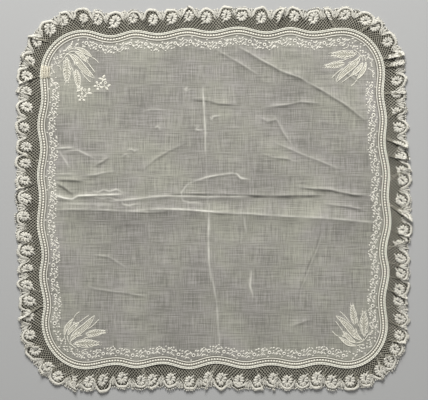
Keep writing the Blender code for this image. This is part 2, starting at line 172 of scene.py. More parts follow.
PAINTED_SHADE_COLOUR = (0.10, 0.097, 0.08)


def rows_of(columns, table):
    """A table's rows, each as a dictionary of its named columns."""
    return [dict(zip(columns, row)) for row in table]


def cloth_edge(node):
    """The node's outer edge where it meets the surface it lies on, clockwise, in mm."""
    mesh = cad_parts[node].data
    found = set()
    for face in mesh.polygons:
        if abs(face.normal.z) < 0.2:
            for number in face.vertices:
                x, y, z = mesh.vertices[number].co / MM
                if z < 0.1:
                    found.add((round(x, 3), round(y, 3)))
    edge = np.array(sorted(found, key=lambda place: -math.atan2(place[1], place[0])))
    return edge


def loop_lengths(loop):
    """The distance travelled round a closed loop up to each of its points, and all the way."""
    steps = np.linalg.norm(np.roll(loop, -1, 0) - loop, axis=1)
    return np.concatenate([[0.0], np.cumsum(steps)])


def smooth_loop(loop, count):
    """The closed loop through the given points, at evenly spaced places."""
    before, after, beyond = np.roll(loop, 1, 0), np.roll(loop, -1, 0), np.roll(loop, -2, 0)
    share = np.linspace(0, 1, 8, endpoint=False)[:, None, None]
    curve = 0.5 * (
        2 * loop
        + (after - before) * share
        + (2 * before - 5 * loop + 4 * after - beyond) * share**2
        + (3 * loop - before - 3 * after + beyond) * share**3
    )
    fine = curve.transpose(1, 0, 2).reshape(-1, 2)
    lengths = loop_lengths(fine)
    closed = np.vstack([fine, fine[:1]])
    stations = np.arange(count) * lengths[-1] / count
    return np.stack([np.interp(stations, lengths, closed[:, axis]) for axis in (0, 1)], 1)


def outward_normals(loop):
    """Unit vectors pointing out of a clockwise loop."""
    ahead = np.roll(loop, -1, 0) - np.roll(loop, 1, 0)
    ahead /= np.linalg.norm(ahead, axis=1)[:, None]
    return np.stack([-ahead[:, 1], ahead[:, 0]], 1)


def loop_value(values, places):
    """Values given at even stations round a loop, read at places from 0 to 1 round it."""
    closed = np.concatenate([values, values[:1]])
    stations = np.linspace(0, 1, len(values) + 1)
    places = np.asarray(places) % 1.0
    if closed.ndim == 1:
        return np.interp(places, stations, closed)
    return np.stack([np.interp(places, stations, closed[:, axis]) for axis in range(closed.shape[1])], -1)


lawn_edge = smooth_loop(cloth_edge("lawn"), HEM_SAMPLES)
hem_line = smooth_loop(lawn_edge - outward_normals(lawn_edge) * EDGE_TO_HEM_LINE, HEM_SAMPLES)
hem_out = outward_normals(hem_line)
hem_length = loop_lengths(hem_line)[-1]


def crease_marks(places):
    """The creases' lift, their pale lines of wear and painted highlight, the dark painted shade beside them at each
    place (x, y), and how near one is.
    """
    lifts = np.zeros(len(places))
    worn = np.zeros(len(places))
    shade = np.zeros(len(places))
    closest = np.full(len(places), np.inf)
    for crease in rows_of(CREASE_COLUMNS, CREASES):
        line = np.array(crease["line"], float)
        runs = np.diff(line, axis=0)
        run_lengths = np.linalg.norm(runs, axis=1)
        starts = np.concatenate([[0.0], np.cumsum(run_lengths)])
        near = np.full(len(places), np.inf)
        along = np.zeros(len(places))
        on_left = np.zeros(len(places), bool)
        for number, run in enumerate(runs):
            from_start = places - line[number]
            share = np.clip(from_start @ run / run_lengths[number] ** 2, 0, 1)
            away = np.linalg.norm(from_start - share[:, None] * run, axis=1)
            nearer = away < near
            near = np.where(nearer, away, near)
            along = np.where(nearer, starts[number] + share * run_lengths[number], along)
            turned = run[0] * from_start[:, 1] - run[1] * from_start[:, 0] >= 0
            on_left = np.where(nearer, turned, on_left)
        width = np.where(on_left, crease["left"], crease["right"])
        fade = min(CREASE_TAPER, starts[-1] / 3)
        taper = np.clip(np.minimum(along, starts[-1] - along) / fade, 0, 1)
        wander = 0.75 + 0.25 * np.sin(along * 0.21 + line[0, 0])
        patchy = 0.78 + 0.2 * np.sin(along * 0.23 + line[0, 1]) + 0.08 * np.sin(along * 0.83)
        slope = np.clip(1 - near / width, 0, 1)
        lifts = np.maximum(lifts, crease["rise"] * taper * wander * slope**1.7)
        # A pale line along the crease, of wear and a painted highlight.
        worn = np.maximum(worn, crease["worn"] * taper**0.5 * patchy * np.exp(-((near / 0.85) ** 2)))
        # Painted shade in a line beside the crease, on its right.
        beside = np.where(on_left, -near, near) - 1.5
        shade = np.maximum(shade, crease["shade"] * taper * patchy * np.exp(-((beside / 0.9) ** 2)))
        closest = np.minimum(closest, near)
    return lifts, worn, shade, closest


def lawn_rumple(places):
    """The shallow unevenness of cloth that lies loose, never below the surface."""
    x, y = places[:, 0], places[:, 1]
    rumple = np.sin(x * 0.061 + 1.3) * np.sin(y * 0.052 + 0.4) + 0.6 * np.sin(x * 0.027 - y * 0.083 + 2.1)
    rumple += 0.35 * np.sin(x * 0.15 + y * 0.11) * np.sin(y * 0.19 - x * 0.05 + 1.0)
    return 0.16 * (rumple + 1.95)


def lawn_top(places):
    """The height of the lawn's upper side at each place."""
    lifts = crease_marks(places)[0]
    return LAWN_UNDERSIDE + LAWN_THICK + lifts + lawn_rumple(places)


def make_piece(name, points, faces, material, marks=None):
    """A mesh object from points in mm, with its finish. marks are named values, or UV pairs, for each point."""
    mesh = bpy.data.meshes.new(name)
    mesh.from_pydata((np.asarray(points) * MM).tolist(), [], faces)
    for mark, values in (marks or {}).items():
        if np.ndim(values) == 2:
            corners = np.empty(len(mesh.loops), np.int32)
            mesh.loops.foreach_get("vertex_index", corners)
            layer = mesh.uv_layers.new(name=mark)
            layer.data.foreach_set("uv", np.asarray(values, np.float32)[corners].ravel())
        else:
            mesh.attributes.new(mark, "FLOAT", "POINT").data.foreach_set("value", values)
    mesh.shade_smooth()
    mesh.materials.append(material)
    made = bpy.data.objects.new(name, mesh)
    bpy.context.scene.collection.objects.link(made)
    return made


def new_finish(name):
    """A material, and short ways to add its nodes and to link them."""
    finish = bpy.data.materials.new(name)
    finish.use_nodes = True
    tree = finish.node_tree

    def add(kind, settings=None, **sockets):
        node = tree.nodes.new(kind)
        for setting, value in (settings or {}).items():
            setattr(node, setting, value)
        for socket, value in sockets.items():
            wanted = node.inputs[socket.replace("_", " ")]
            if hasattr(value, "is_output"):
                tree.links.new(value, wanted)
            else:
                wanted.default_value = value
        return node

    return finish, tree.nodes["Principled BSDF"], add, tree.links.new


def lawn_finish():
    """Sheer cotton: slubs that run both ways, a fine plain weave, pale lines of wear and painted highlight along the
    creases, and painted shade beside them.
    """
    finish, shader, add, link = new_finish("sheer lawn")
    coordinates = add("ShaderNodeTexCoord").outputs["Object"]
    slubs = []
    for stretch in ((30.0, 1150.0, 1.0), (1550.0, 44.0, 1.0)):
        mapped = add("ShaderNodeMapping", Vector=coordinates, Scale=stretch).outputs["Vector"]
        noise = add("ShaderNodeTexNoise", Vector=mapped, Scale=1.0, Detail=2.0, Roughness=0.85)
        slubs.append(noise.outputs["Fac"])
    both = add("ShaderNodeMath", {"operation": "ADD"})
    link(slubs[0], both.inputs[0])
    link(slubs[1], both.inputs[1])
    cloud = add("ShaderNodeTexNoise", Vector=coordinates, Scale=15.0, Detail=4.0, Roughness=0.55)
    spread = add("ShaderNodeMath", {"operation": "MULTIPLY_ADD"})
    link(cloud.outputs["Fac"], spread.inputs[0])
    spread.inputs[1].default_value = 0.60
    link(both.outputs["Value"], spread.inputs[2])
    tone = add("ShaderNodeMapRange", Value=spread.outputs["Value"])
    tone.inputs["From Min"].default_value = 1.08
    tone.inputs["From Max"].default_value = 1.54
    yellowed = add("ShaderNodeTexNoise", Vector=coordinates, Scale=17.0, Detail=4.0, Roughness=0.65)
    tint = add("ShaderNodeMapRange", Value=yellowed.outputs["Fac"])
    tint.inputs["From Min"].default_value = 0.40
    tint.inputs["From Max"].default_value = 0.60
    lighter = add("ShaderNodeMix", {"data_type": "RGBA"}, Factor=tint.outputs["Result"])
    lighter.inputs[6].default_value = (*SLUB_COOL, 1.0)
    lighter.inputs[7].default_value = (*SLUB_WARM, 1.0)
    threads = add("ShaderNodeMix", {"data_type": "RGBA"}, Factor=tone.outputs["Result"])
    threads.inputs[6].default_value = (*SLUB_DARK, 1.0)
    link(lighter.outputs[2], threads.inputs[7])
    # The creases' pale lines, of wear and painted highlight, and the painted shade beside them.
    worn = add("ShaderNodeAttribute", {"attribute_name": "worn"}).outputs["Fac"]
    shade = add("ShaderNodeAttribute", {"attribute_name": "shade"}).outputs["Fac"]
    with_painted_shade = add("ShaderNodeMix", {"data_type": "RGBA"}, Factor=shade)
    link(threads.outputs[2], with_painted_shade.inputs[6])
    with_painted_shade.inputs[7].default_value = (*PAINTED_SHADE_COLOUR, 1.0)
    colour = add("ShaderNodeMix", {"data_type": "RGBA"}, Factor=worn)
    link(with_painted_shade.outputs[2], colour.inputs[6])
    colour.inputs[7].default_value = (*WEAR_AND_HIGHLIGHT_COLOUR, 1.0)
    link(colour.outputs[2], shader.inputs["Base Color"])
    weave = add("ShaderNodeTexWave", {"bands_direction": "X"}, Vector=coordinates, Scale=560.0)
    weft = add("ShaderNodeTexWave", {"bands_direction": "Y"}, Vector=coordinates, Scale=560.0)
    crossing = add("ShaderNodeMath", {"operation": "MULTIPLY"})
    link(weave.outputs["Fac"], crossing.inputs[0])
    link(weft.outputs["Fac"], crossing.inputs[1])
    relief = add("ShaderNodeMath", {"operation": "MULTIPLY_ADD"})
    link(crossing.outputs["Value"], relief.inputs[0])
    relief.inputs[1].default_value = 0.5
    link(both.outputs["Value"], relief.inputs[2])
    bump = add("ShaderNodeBump", Height=relief.outputs["Value"], Strength=0.35, Distance=0.0003)
    link(bump.outputs["Normal"], shader.inputs["Normal"])
    open_weave = add("ShaderNodeMapRange", Value=crossing.outputs["Value"])
    open_weave.inputs["To Min"].default_value = 0.97
    open_weave.inputs["To Max"].default_value = 0.82
    link(open_weave.outputs["Result"], shader.inputs["Alpha"])
    shader.inputs["Roughness"].default_value = 0.85
    shader.inputs["Specular IOR Level"].default_value = 0.25
    shader.inputs["Sheen Weight"].default_value = 0.15
    return finish


def crease_rows(crease):
    """Close rows of points along a crease, so that the mesh can follow its sharp line."""
    line = np.array(crease["line"], float)
    lengths = np.concatenate([[0.0], np.cumsum(np.linalg.norm(np.diff(line, axis=0), axis=1))])
    stations = np.arange(0, lengths[-1], 1.7)
    path = np.stack([np.interp(stations, lengths, line[:, axis]) for axis in (0, 1)], 1)
    ahead = np.gradient(path, axis=0)
    ahead /= np.linalg.norm(ahead, axis=1)[:, None]
    sideways = np.stack([-ahead[:, 1], ahead[:, 0]], 1)
    return np.vstack([path + sideways * row for row in CREASE_ROWS])


def make_lawn():
    """The lawn as one thin sheet: an edge ring, an even grid inside it, and the creases in its heights."""
    ring = smooth_loop(lawn_edge, LAWN_RING_STATIONS)
    ring_angles = np.arctan2(ring[:, 1], ring[:, 0])
    order = np.argsort(ring_angles)
    reach = math.ceil(np.abs(ring).max() / LAWN_GRID)
    steps = np.arange(-reach, reach + 1) * LAWN_GRID
    grid = np.stack(np.meshgrid(steps, steps), -1).reshape(-1, 2)
    angles = np.arctan2(grid[:, 1], grid[:, 0])
    limit = np.interp(
        angles, ring_angles[order], np.linalg.norm(ring[order], axis=1), period=2 * math.pi
    )
    grid = grid[np.linalg.norm(grid, axis=1) < limit - LAWN_RING_CLEAR]
    grid = grid[crease_marks(grid)[3] > CREASE_ROWS[-1] + 0.5]
    flat = np.vstack([ring, grid, *(crease_rows(crease) for crease in rows_of(CREASE_COLUMNS, CREASES))])
    count = len(ring)
    edges = [(i, (i + 1) % count) for i in range(count)]
    placed, _, triangles, *_ = delaunay_2d_cdt([Vector(place) for place in flat], edges, [], 1, 1e-6)
    flat = np.array([tuple(place) for place in placed])
    lifts, worn, shade, _ = crease_marks(flat)
    upper = LAWN_UNDERSIDE + LAWN_THICK + lifts + lawn_rumple(flat)
    total = len(flat)
    points = np.vstack([np.column_stack([flat, upper]), np.column_stack([flat, upper - LAWN_THICK])])
    faces = [tuple(triangle) for triangle in triangles]
    faces += [tuple(total + number for number in reversed(triangle)) for triangle in triangles]
    faces += [(i, (i + 1) % count, total + (i + 1) % count, total + i) for i in range(count)]
    # The creases' pale lines of wear and painted highlight, and their painted shade.
    marks = {"worn": np.concatenate([worn, worn]), "shade": np.concatenate([shade, shade])}
    return make_piece("lawn_cloth", points, faces, lawn_finish(), marks)


lawn = make_lawn()
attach(lawn, "root")
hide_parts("lawn")

# The corded hem: a flat braid worked over the cloth's raw edge, a row of round knots inside it and one fine
# line of stitches, all in heavy cream cotton, which follow the waves of the edge right round.
CORD_COLOUR = (0.97, 0.93, 0.80)
FINE_COLOUR = (0.88, 0.85, 0.74)
STITCH_PITCH = 2.6
BRAID_STRANDS = (
    {"inward": -0.4, "width": 1.4, "height": 1.0, "stations_per_stitch": 6},
    {"inward": 0.85, "width": 1.35, "height": 0.9, "stations_per_stitch": 6},
)
KNOTS = {"inward": 3.5, "length": 2.4, "width": 2.05, "height": 0.75}
FINE_LINE = {"inward": 6.1, "width": 1.1, "height": 0.5, "stations_per_stitch": 4}
# Dark strips in the drawn-thread openings between the lines of stitches, and one inside the fine line, coloured with
# painted shade.
DRAWN_GAPS = (
    {"inward": 2.05, "width": 1.1, "height": 0.2, "stations_per_stitch": 2},
    {"inward": 4.9, "width": 1.2, "height": 0.2, "stations_per_stitch": 2},
    {"inward": 7.3, "width": 0.8, "height": 0.2, "stations_per_stitch": 2},
)
DRAWN_GAP_SHADE_COLOUR = (0.175, 0.163, 0.13)
ROUND_SECTION = np.array(((-1.0, 0.0), (-0.7, 0.72), (-0.3, 0.97), (0.3, 0.97), (0.7, 0.72), (1.0, 0.0)))
SUNK = -0.15


def thread_finish(name, colour, ridge=0.55, depth=0.00012, shade=0.16, gaps=0.0, notch=0.0):
    """Cotton thread side by side: ridges across the piece, changes of tone, and, if asked for, painted shade in gaps
    and in notches between the ridges.
    """
    finish, shader, add, link = new_finish(name)
    along = add("ShaderNodeSeparateXYZ", Vector=add("ShaderNodeUVMap", {"uv_map": "thread"}).outputs["UV"])
    turns = add("ShaderNodeMath", {"operation": "MULTIPLY"})
    link(along.outputs["X"], turns.inputs[0])
    turns.inputs[1].default_value = 2 * math.pi / ridge
    ridges = add("ShaderNodeMath", {"operation": "SINE"})
    link(turns.outputs["Value"], ridges.inputs[0])
    coordinates = add("ShaderNodeTexCoord").outputs["Object"]
    fuzz = add("ShaderNodeTexNoise", Vector=coordinates, Scale=1900.0, Detail=2.0)
    relief = add("ShaderNodeMath", {"operation": "ADD"})
    link(ridges.outputs["Value"], relief.inputs[0])
    link(fuzz.outputs["Fac"], relief.inputs[1])
    bump = add("ShaderNodeBump", Height=relief.outputs["Value"], Strength=0.5, Distance=depth)
    link(bump.outputs["Normal"], shader.inputs["Normal"])
    tone = add("ShaderNodeTexNoise", Vector=coordinates, Scale=95.0, Detail=3.0, Roughness=0.6)
    mixed = add("ShaderNodeMix", {"data_type": "RGBA"}, Factor=tone.outputs["Fac"])
    mixed.inputs[6].default_value = (*[part * (1 - shade) for part in colour], 1.0)
    mixed.inputs[7].default_value = (*[min(1.0, part * (1 + shade * 0.6)) for part in colour], 1.0)
    # Painted shade: dark spots in the gaps of the clothwork, and dark notches in the grooves between the ridges.
    openings = add("ShaderNodeTexNoise", Vector=coordinates, Scale=820.0, Detail=1.0)
    shaded_openings = add("ShaderNodeMapRange", Value=openings.outputs["Fac"])
    shaded_openings.inputs["From Min"].default_value = 0.52
    shaded_openings.inputs["From Max"].default_value = 0.66
    shaded_openings.inputs["To Max"].default_value = gaps
    shaded_notches = add("ShaderNodeMapRange", Value=ridges.outputs["Value"])
    shaded_notches.inputs["From Min"].default_value = -0.4
    shaded_notches.inputs["From Max"].default_value = -0.95
    shaded_notches.inputs["To Max"].default_value = notch
    painted_shade_mask = add("ShaderNodeMath", {"operation": "MAXIMUM"})
    link(shaded_openings.outputs["Result"], painted_shade_mask.inputs[0])
    link(shaded_notches.outputs["Result"], painted_shade_mask.inputs[1])
    # The painted shade is the thread's own colour, darkened.
    between = add("ShaderNodeMix", {"data_type": "RGBA"}, Factor=painted_shade_mask.outputs["Value"])
    link(mixed.outputs[2], between.inputs[6])
    between.inputs[7].default_value = (*[part * 0.22 for part in colour], 1.0)
    link(between.outputs[2], shader.inputs["Base Color"])
    shader.inputs["Roughness"].default_value = 0.8
    shader.inputs["Specular IOR Level"].default_value = 0.3
    shader.inputs["Sheen Weight"].default_value = 0.1
    return finish


def hem_place(stations, inward):
    """(x, y) at places from 0 to 1 round the hem line, moved inwards."""
    return loop_value(hem_line, stations) - loop_value(hem_out, stations) * np.asarray(inward)[..., None]


def padded_strip(path, widths, height, section=ROUND_SECTION, closed=False):
    """A padded line of stitches along a flat path: points with heights, faces, and UVs along and across it."""
    path = np.asarray(path, float)
    if closed:
        ahead = np.roll(path, -1, 0) - np.roll(path, 1, 0)
    else:
        ahead = np.gradient(path, axis=0)
    ahead /= np.linalg.norm(ahead, axis=1)[:, None]
    sideways = np.stack([-ahead[:, 1], ahead[:, 0]], 1)
    widths = np.broadcast_to(widths, len(path))
    fullness = widths / widths.max()
    travelled = np.concatenate([[0.0], np.cumsum(np.linalg.norm(np.diff(path, axis=0), axis=1))])
    across = np.multiply.outer(widths / 2, section[:, 0])
    flat = path[:, None, :] + across[..., None] * sideways[:, None, :]
    heights = np.multiply.outer(fullness * height, section[:, 1]) + SUNK
    points = np.concatenate([flat, heights[..., None]], 2).reshape(-1, 3)
    uvs = np.stack([np.broadcast_to(travelled[:, None], across.shape), across], 2).reshape(-1, 2)
    size = len(section)
    faces = []
    last = len(path) if closed else len(path) - 1
    for station in range(last):
        here, following = station * size, (station + 1) % len(path) * size
        for corner in range(size):
            turned = (corner + 1) % size
            faces.append((here + corner, here + turned, following + turned, following + corner))
    if not closed:
        faces.append(tuple(reversed(range(size))))
        faces.append(tuple(range((len(path) - 1) * size, len(path) * size)))
    return points, faces, uvs


def joined(parts):
    """Several (points, faces, uvs) as one."""
    points, faces, uvs = [], [], []
    offset = 0
    for part_points, part_faces, part_uvs in parts:
        points.append(part_points)
        uvs.append(part_uvs)
        faces += [tuple(offset + number for number in face) for face in part_faces]
        offset += len(part_points)
    return np.vstack(points), faces, np.vstack(uvs)


def lay_on_lawn(name, parts, material):
    """Makes one piece of flat parts, each resting on the lawn's upper side, and lets it go with the lawn."""
    points, faces, uvs = joined(parts)
    points[:, 2] += lawn_top(points[:, :2])
    made = make_piece(name, points, faces, material, {"thread": uvs})
    made.parent = lawn
    return made


def hem_stations(per_stitch):
    stitches = round(hem_length / STITCH_PITCH)
    return np.arange(stitches * per_stitch) / (stitches * per_stitch)


def hem_strip(line):
    """One of the hem's lines of stitches, as a closed padded strip."""
    path = hem_place(hem_stations(line["stations_per_stitch"]), line["inward"])
    return padded_strip(path, line["width"], line["height"], closed=True)


def braid_strand(strand, shift):
    """One strand of the outer braid, which swells and narrows with each stitch."""
    stations = hem_stations(strand["stations_per_stitch"])
    phase = (np.arange(len(stations)) / strand["stations_per_stitch"] + shift) % 1.0
    swell = np.sin(np.pi * phase) ** 0.7
    widths = strand["width"] * (0.66 + 0.34 * swell)
    return padded_strip(hem_place(stations, strand["inward"]), widths, strand["height"], closed=True)


def padded_knot(middle, ahead, length, width, height, around=8):
    """A round knot on the flat: a low dome, closed underneath."""
    turns = np.linspace(0, 2 * math.pi, around, endpoint=False)
    sideways = np.array((-ahead[1], ahead[0]))
    rings = []
    for share, rise in ((1.0, 0.0), (0.88, 0.55), (0.5, 0.92)):
        ring = np.outer(np.cos(turns) * length / 2 * share, ahead) + np.outer(np.sin(turns) * width / 2 * share, sideways)
        rings.append(np.column_stack([ring + middle, np.full(around, rise * height + SUNK)]))
    points = np.vstack([*rings, [[*middle, height + SUNK]]])
    faces = [tuple(reversed(range(around)))]
    for ring in range(len(rings) - 1):
        for corner in range(around):
            turned = (corner + 1) % around
            first, second = ring * around, (ring + 1) * around
            faces.append((first + corner, first + turned, second + turned, second + corner))
    top = len(points) - 1
    last = (len(rings) - 1) * around
    faces += [(last + corner, last + (corner + 1) % around, top) for corner in range(around)]
    uvs = (points[:, :2] - middle) @ np.column_stack([ahead, sideways])
    return points, faces, uvs


def knot_row():
    places = hem_stations(1)
    middles = hem_place(places, KNOTS["inward"])
    ahead = np.roll(middles, -1, 0) - middles
    ahead /= np.linalg.norm(ahead, axis=1)[:, None]
    return [
        padded_knot(middle, direction, KNOTS["length"], KNOTS["width"], KNOTS["height"])
        for middle, direction in zip(middles, ahead)
    ]


strands = [braid_strand(strand, number * 0.35) for number, strand in enumerate(BRAID_STRANDS)]
# The braid's notches are painted shade between its stitches.
lay_on_lawn("hem_braid", strands, thread_finish("hem cotton", CORD_COLOUR, ridge=STITCH_PITCH, notch=0.45))
lay_on_lawn("hem_knots", knot_row(), thread_finish("knot cotton", CORD_COLOUR, shade=0.05))
lay_on_lawn("hem_fine_line", [hem_strip(FINE_LINE)], thread_finish("fine hem cotton", FINE_COLOUR))
# The drawn gaps are dark with painted shade.
drawn_gap_shade_finish = thread_finish("drawn threads", DRAWN_GAP_SHADE_COLOUR, ridge=1.3, shade=0.5)
lay_on_lawn("hem_gaps", [hem_strip(gap) for gap in DRAWN_GAPS], drawn_gap_shade_finish)

# The vine: a narrow border worked on the lawn inside the hem, of small rings and pairs of leaves between them,
# in white satin stitch. Round each corner it is leaves alone.
VINE_COLOUR = (0.86, 0.83, 0.73)
VINE_INWARD = 12.2
VINE_SIDES = (
    {"side": "top", "first": -128.0, "last": 126.0, "rings": 18},
    {"side": "right", "first": 113.0, "last": -122.7, "rings": 17},
    {"side": "bottom", "first": 131.2, "last": -125.3, "rings": 18},
    {"side": "left", "first": -126.6, "last": 108.5, "rings": 17},
)
SIDE_FACING = {"top": (0, 1), "right": (1, 0), "bottom": (0, -1), "left": (-1, 0)}
RING_ACROSS = 4.3
RING_THREAD = 1.55
HOLE_SHADE_COLOUR = (0.06, 0.055, 0.045)
VINE_LEAF_COLUMNS = ("from_along", "from_inward", "to_along", "to_inward", "width")
VINE_LEAVES = (
    (1.6, 1.6, 3.9, 4.6, 1.7),
    (-4.8, 0.1, -2.5, -2.1, 2.1),
    (-5.6, 4.6, -3.0, 3.3, 2.1),
    (3.7, -2.7, 6.3, -0.7, 1.8),
    (6.3, -0.5, 8.4, -3.5, 1.9),
    (6.6, 5.1, 9.8, 1.2, 1.9),
    (4.9, 1.0, 7.4, 2.8, 1.7),
    (-1.2, 3.4, -2.6, 5.2, 1.7),
    (1.0, -3.2, 2.6, -4.6, 1.7),
    (-3.6, 1.6, -5.6, 2.0, 1.5),
    (4.4, 4.2, 5.6, 5.8, 1.5),
)
VINE_STEM = ((2.0, 1.0), (3.8, 2.4), (5.6, 2.2), (7.4, 0.4), (9.2, -1.4), (10.8, -1.6), (12.6, -0.8))
VINE_STEM_WIDTH = np.array((0.9, 1.0, 1.0, 1.0, 1.0, 1.0, 0.9))
VINE_PITCH = 14.7
CORNER_LEAF_SPACING = 2.0
VINE_HEIGHT = 0.55
CALM_WINDOW = 56.0
LEAF_SHARES = np.array((0.0, 0.15, 0.4, 0.7, 1.0))
LEAF_FULLNESS = np.array((0.25, 0.75, 1.0, 0.8, 0.12))
random_vine = np.random.default_rng(11)


def hem_station(side, at):
    """The place round the hem line, from 0 to 1, that lies at x or y = at on one side."""
    facing = np.array(SIDE_FACING[side], float)
    along = hem_line @ (1 - np.abs(facing))
    distance = np.where(hem_line @ facing > 150, np.abs(along - at), np.inf)
    return float(np.argmin(distance)) / HEM_SAMPLES


def leaf(start, end, width, height=VINE_HEIGHT, bow=0.0):
    """A leaf in satin stitch from its stalk to its tip, bowed to its left."""
    start, end = np.asarray(start, float), np.asarray(end, float)
    run = end - start
    sideways = np.array((-run[1], run[0]))
    swing = bow * np.sin(np.pi * LEAF_SHARES)
    path = start + np.outer(LEAF_SHARES, run) + np.outer(swing, sideways)
    return padded_strip(path, width * LEAF_FULLNESS, height)


def ring_of_stitches(middle, across, thread, height=VINE_HEIGHT):
    """A small ring worked round a pierced hole."""
    turns = np.linspace(0, 2 * math.pi, 12, endpoint=False)
    path = np.asarray(middle) + (across - thread) / 2 * np.column_stack([np.cos(turns), np.sin(turns)])
    return padded_strip(path, thread, height, closed=True)


def running_mean(values, reach):
    """The mean of a loop's values over a window that reaches that many samples each way."""
    total = np.zeros_like(values)
    for shift in range(-reach, reach + 1):
        total += np.roll(values, shift, 0)
    return total / (2 * reach + 1)


window = round(CALM_WINDOW / 2 / hem_length * HEM_SAMPLES)
calm_line = running_mean(hem_line, window)
calm_out = outward_normals(calm_line)


def vine_place(station, along, inward):
    """(x, y) at a distance along the vine from a place on it, and inward of its middle line."""
    place = station + along / hem_length
    return loop_value(hem_line, place) - loop_value(calm_out, place) * (VINE_INWARD + inward)


def shade_disc_in_hole(middle, across):
    """A low disc below the ring's top, painted dark as the shade in the hole pierced at the middle of a ring."""
    return padded_knot(np.asarray(middle), np.array((1.0, 0.0)), across, across, 0.2, around=7)


vine_parts = []
hole_shade_parts = []
for row in VINE_SIDES:
    for at in np.linspace(row["first"], row["last"], row["rings"]):
        station = hem_station(row["side"], at)
        middle = vine_place(station, 0.0, random_vine.normal(0, 0.3))
        vine_parts.append(ring_of_stitches(middle, RING_ACROSS * random_vine.uniform(0.92, 1.06), RING_THREAD))
        hole_shade_parts.append(shade_disc_in_hole(middle, RING_ACROSS - RING_THREAD * 1.6))
        stem = [vine_place(station, *point) for point in VINE_STEM]
        vine_parts.append(padded_strip(np.array(stem), VINE_STEM_WIDTH, VINE_HEIGHT * 0.7))
        for stitch in rows_of(VINE_LEAF_COLUMNS, VINE_LEAVES):
            drift = random_vine.normal(0, 0.35, 2)
            start = vine_place(station, stitch["from_along"] + drift[0], stitch["from_inward"] + drift[1])
            end = vine_place(station, stitch["to_along"] + drift[0], stitch["to_inward"] + drift[1])
            vine_parts.append(leaf(start, end, stitch["width"] * random_vine.uniform(0.8, 1.15)))
for row, following in zip(VINE_SIDES, VINE_SIDES[1:] + VINE_SIDES[:1]):
    start = hem_station(row["side"], row["last"]) + VINE_PITCH / 2 / hem_length
    end = hem_station(following["side"], following["first"]) - VINE_PITCH / 2 / hem_length
    span = (end - start) % 1.0 * hem_length
    for number in range(int(span / CORNER_LEAF_SPACING)):
        along = (number + 0.5) * CORNER_LEAF_SPACING
        lean = random_vine.uniform(1.0, 3.0) * (1 if number % 2 else -1)
        inward = random_vine.uniform(-3.5, 2.5)
        stalk = vine_place(start, along - 1.2, inward)
        tip = vine_place(start, along + 1.4, inward + lean)
        vine_parts.append(leaf(stalk, tip, random_vine.uniform(1.3, 2.0)))
vine_finish = thread_finish("vine cotton", VINE_COLOUR, ridge=0.4)
lay_on_lawn("vine", vine_parts, vine_finish)
# The holes' dark discs are painted shade.
hole_shade_finish = thread_finish("pierced holes", HOLE_SHADE_COLOUR)
lay_on_lawn("vine_holes", hole_shade_parts, hole_shade_finish)

# The corner sprays: one in each corner, of two ears of corn, two long leaves and a curled one on crossed
# stalks, pointing at the middle of the cloth. White padded satin stitch, with seeding inside the outlines.
SPRAY_COLOUR = (0.90, 0.87, 0.75)
SEEDING_COLOUR = (0.50, 0.48, 0.395)
SEEDING_HEIGHT = 0.3
SPRAY_CORNERS = (
    {"corner": "top left", "foot": (-145.8, 145.3), "turn": -45.0},
    {"corner": "top right", "foot": (147.6, 143.3), "turn": -135.0},
    {"corner": "bottom left", "foot": (-144.3, -144.4), "turn": 45.0},
    {"corner": "bottom right", "foot": (149.8, -142.6), "turn": 135.0},
)
# Forward is towards the middle of the cloth, and left is seen from above.
EAR_COLUMNS = ("stalk", "start", "tip", "width")
EARS = (
    (((0, 0), (2, -2)), (3.6, -4.4), (21.0, -21.6), 7.6),
    (((0, 0), (8, -0.5), (15, -4)), (17.6, -5.6), (33.8, -17.6), 6.0),
)
OUTLINED_COLUMNS = ("left_edge", "right_edge", "veins")
OUTLINED_LEAVES = (
    (
        ((2, 1), (9, 3.9), (16, 3.8), (24, 2.9), (37.5, 1.6)),
        ((2, 0), (9, -0.9), (16, -2.0), (24, -2.4), (31, -1.3), (37.5, 1.4)),
        (((10, 1), (20, 0.6), (33, 1.0)), ((12, -0.4), (20, -0.9), (29, -0.7))),
    ),
    (
        ((4, 6.5), (9, 9.4), (15, 9.6), (22, 7.6)),
        ((4, 6.0), (9, 6.2), (15, 6.0), (22, 7.4)),
        (((6, 6.8), (12, 7.9), (20, 7.6)),),
    ),
    (
        ((1.5, 8.6), (7, 13.4), (13, 14.8), (20.5, 14.4)),
        ((1.5, 8.2), (7, 10.4), (13, 11.6), (20.5, 14.2)),
        (((4, 9.8), (10, 12.2), (17, 13.6)),),
    ),
)
SPRAY_LINES = (
    ((22, -3.4), (30, -4.6), (38, -4.4)),
    ((21, 7.5), (27, 6.6), (33.8, 5.6)),
    ((20.5, 14.3), (25, 15.2), (29.5, 14.8)),
    ((0, 0), (0.6, -4.6), (1.6, -9.4)),
    ((1.6, -9.4), (0.6, -11.4), (-1.6, -12.2)),
    ((0, 0), (2.0, 4.0), (4.0, 6.4)),
    ((-1.5, 3.0), (0.2, 6.2), (1.5, 8.4)),
    ((0, 0), (5, 0.4), (10, 1.0)),
    ((3.0, -3.4), (9.0, -7.4), (13.4, -10.4)),
    ((12.6, -7.0), (17.0, -9.0), (20.0, -12.0)),
    ((9.0, -17.4), (3.6, -15.0), (1.2, -17.4)),
)
SPRAY_RINGS = ((4.6, -8.6, 3.6), (3.4, -4.9, 3.0), (8.4, 3.0, 2.7), (11.2, 1.5, 2.7), (14.0, -0.3, 2.5), (17.6, 10.4, 2.8))
SPRAY_KNOTS = (
    (-2.0, 3.4, 2.0),
    (-3.4, 6.4, 2.2),
    (-1.4, 6.8, 1.7),
    (-3.6, 9.2, 2.0),
    (-2.4, -3.6, 1.8),
    (-1.8, -6.8, 2.0),
    (-4.2, -1.0, 1.7),
    (1.0, -13.6, 2.0),
    (-2.6, -14.6, 1.7),
)
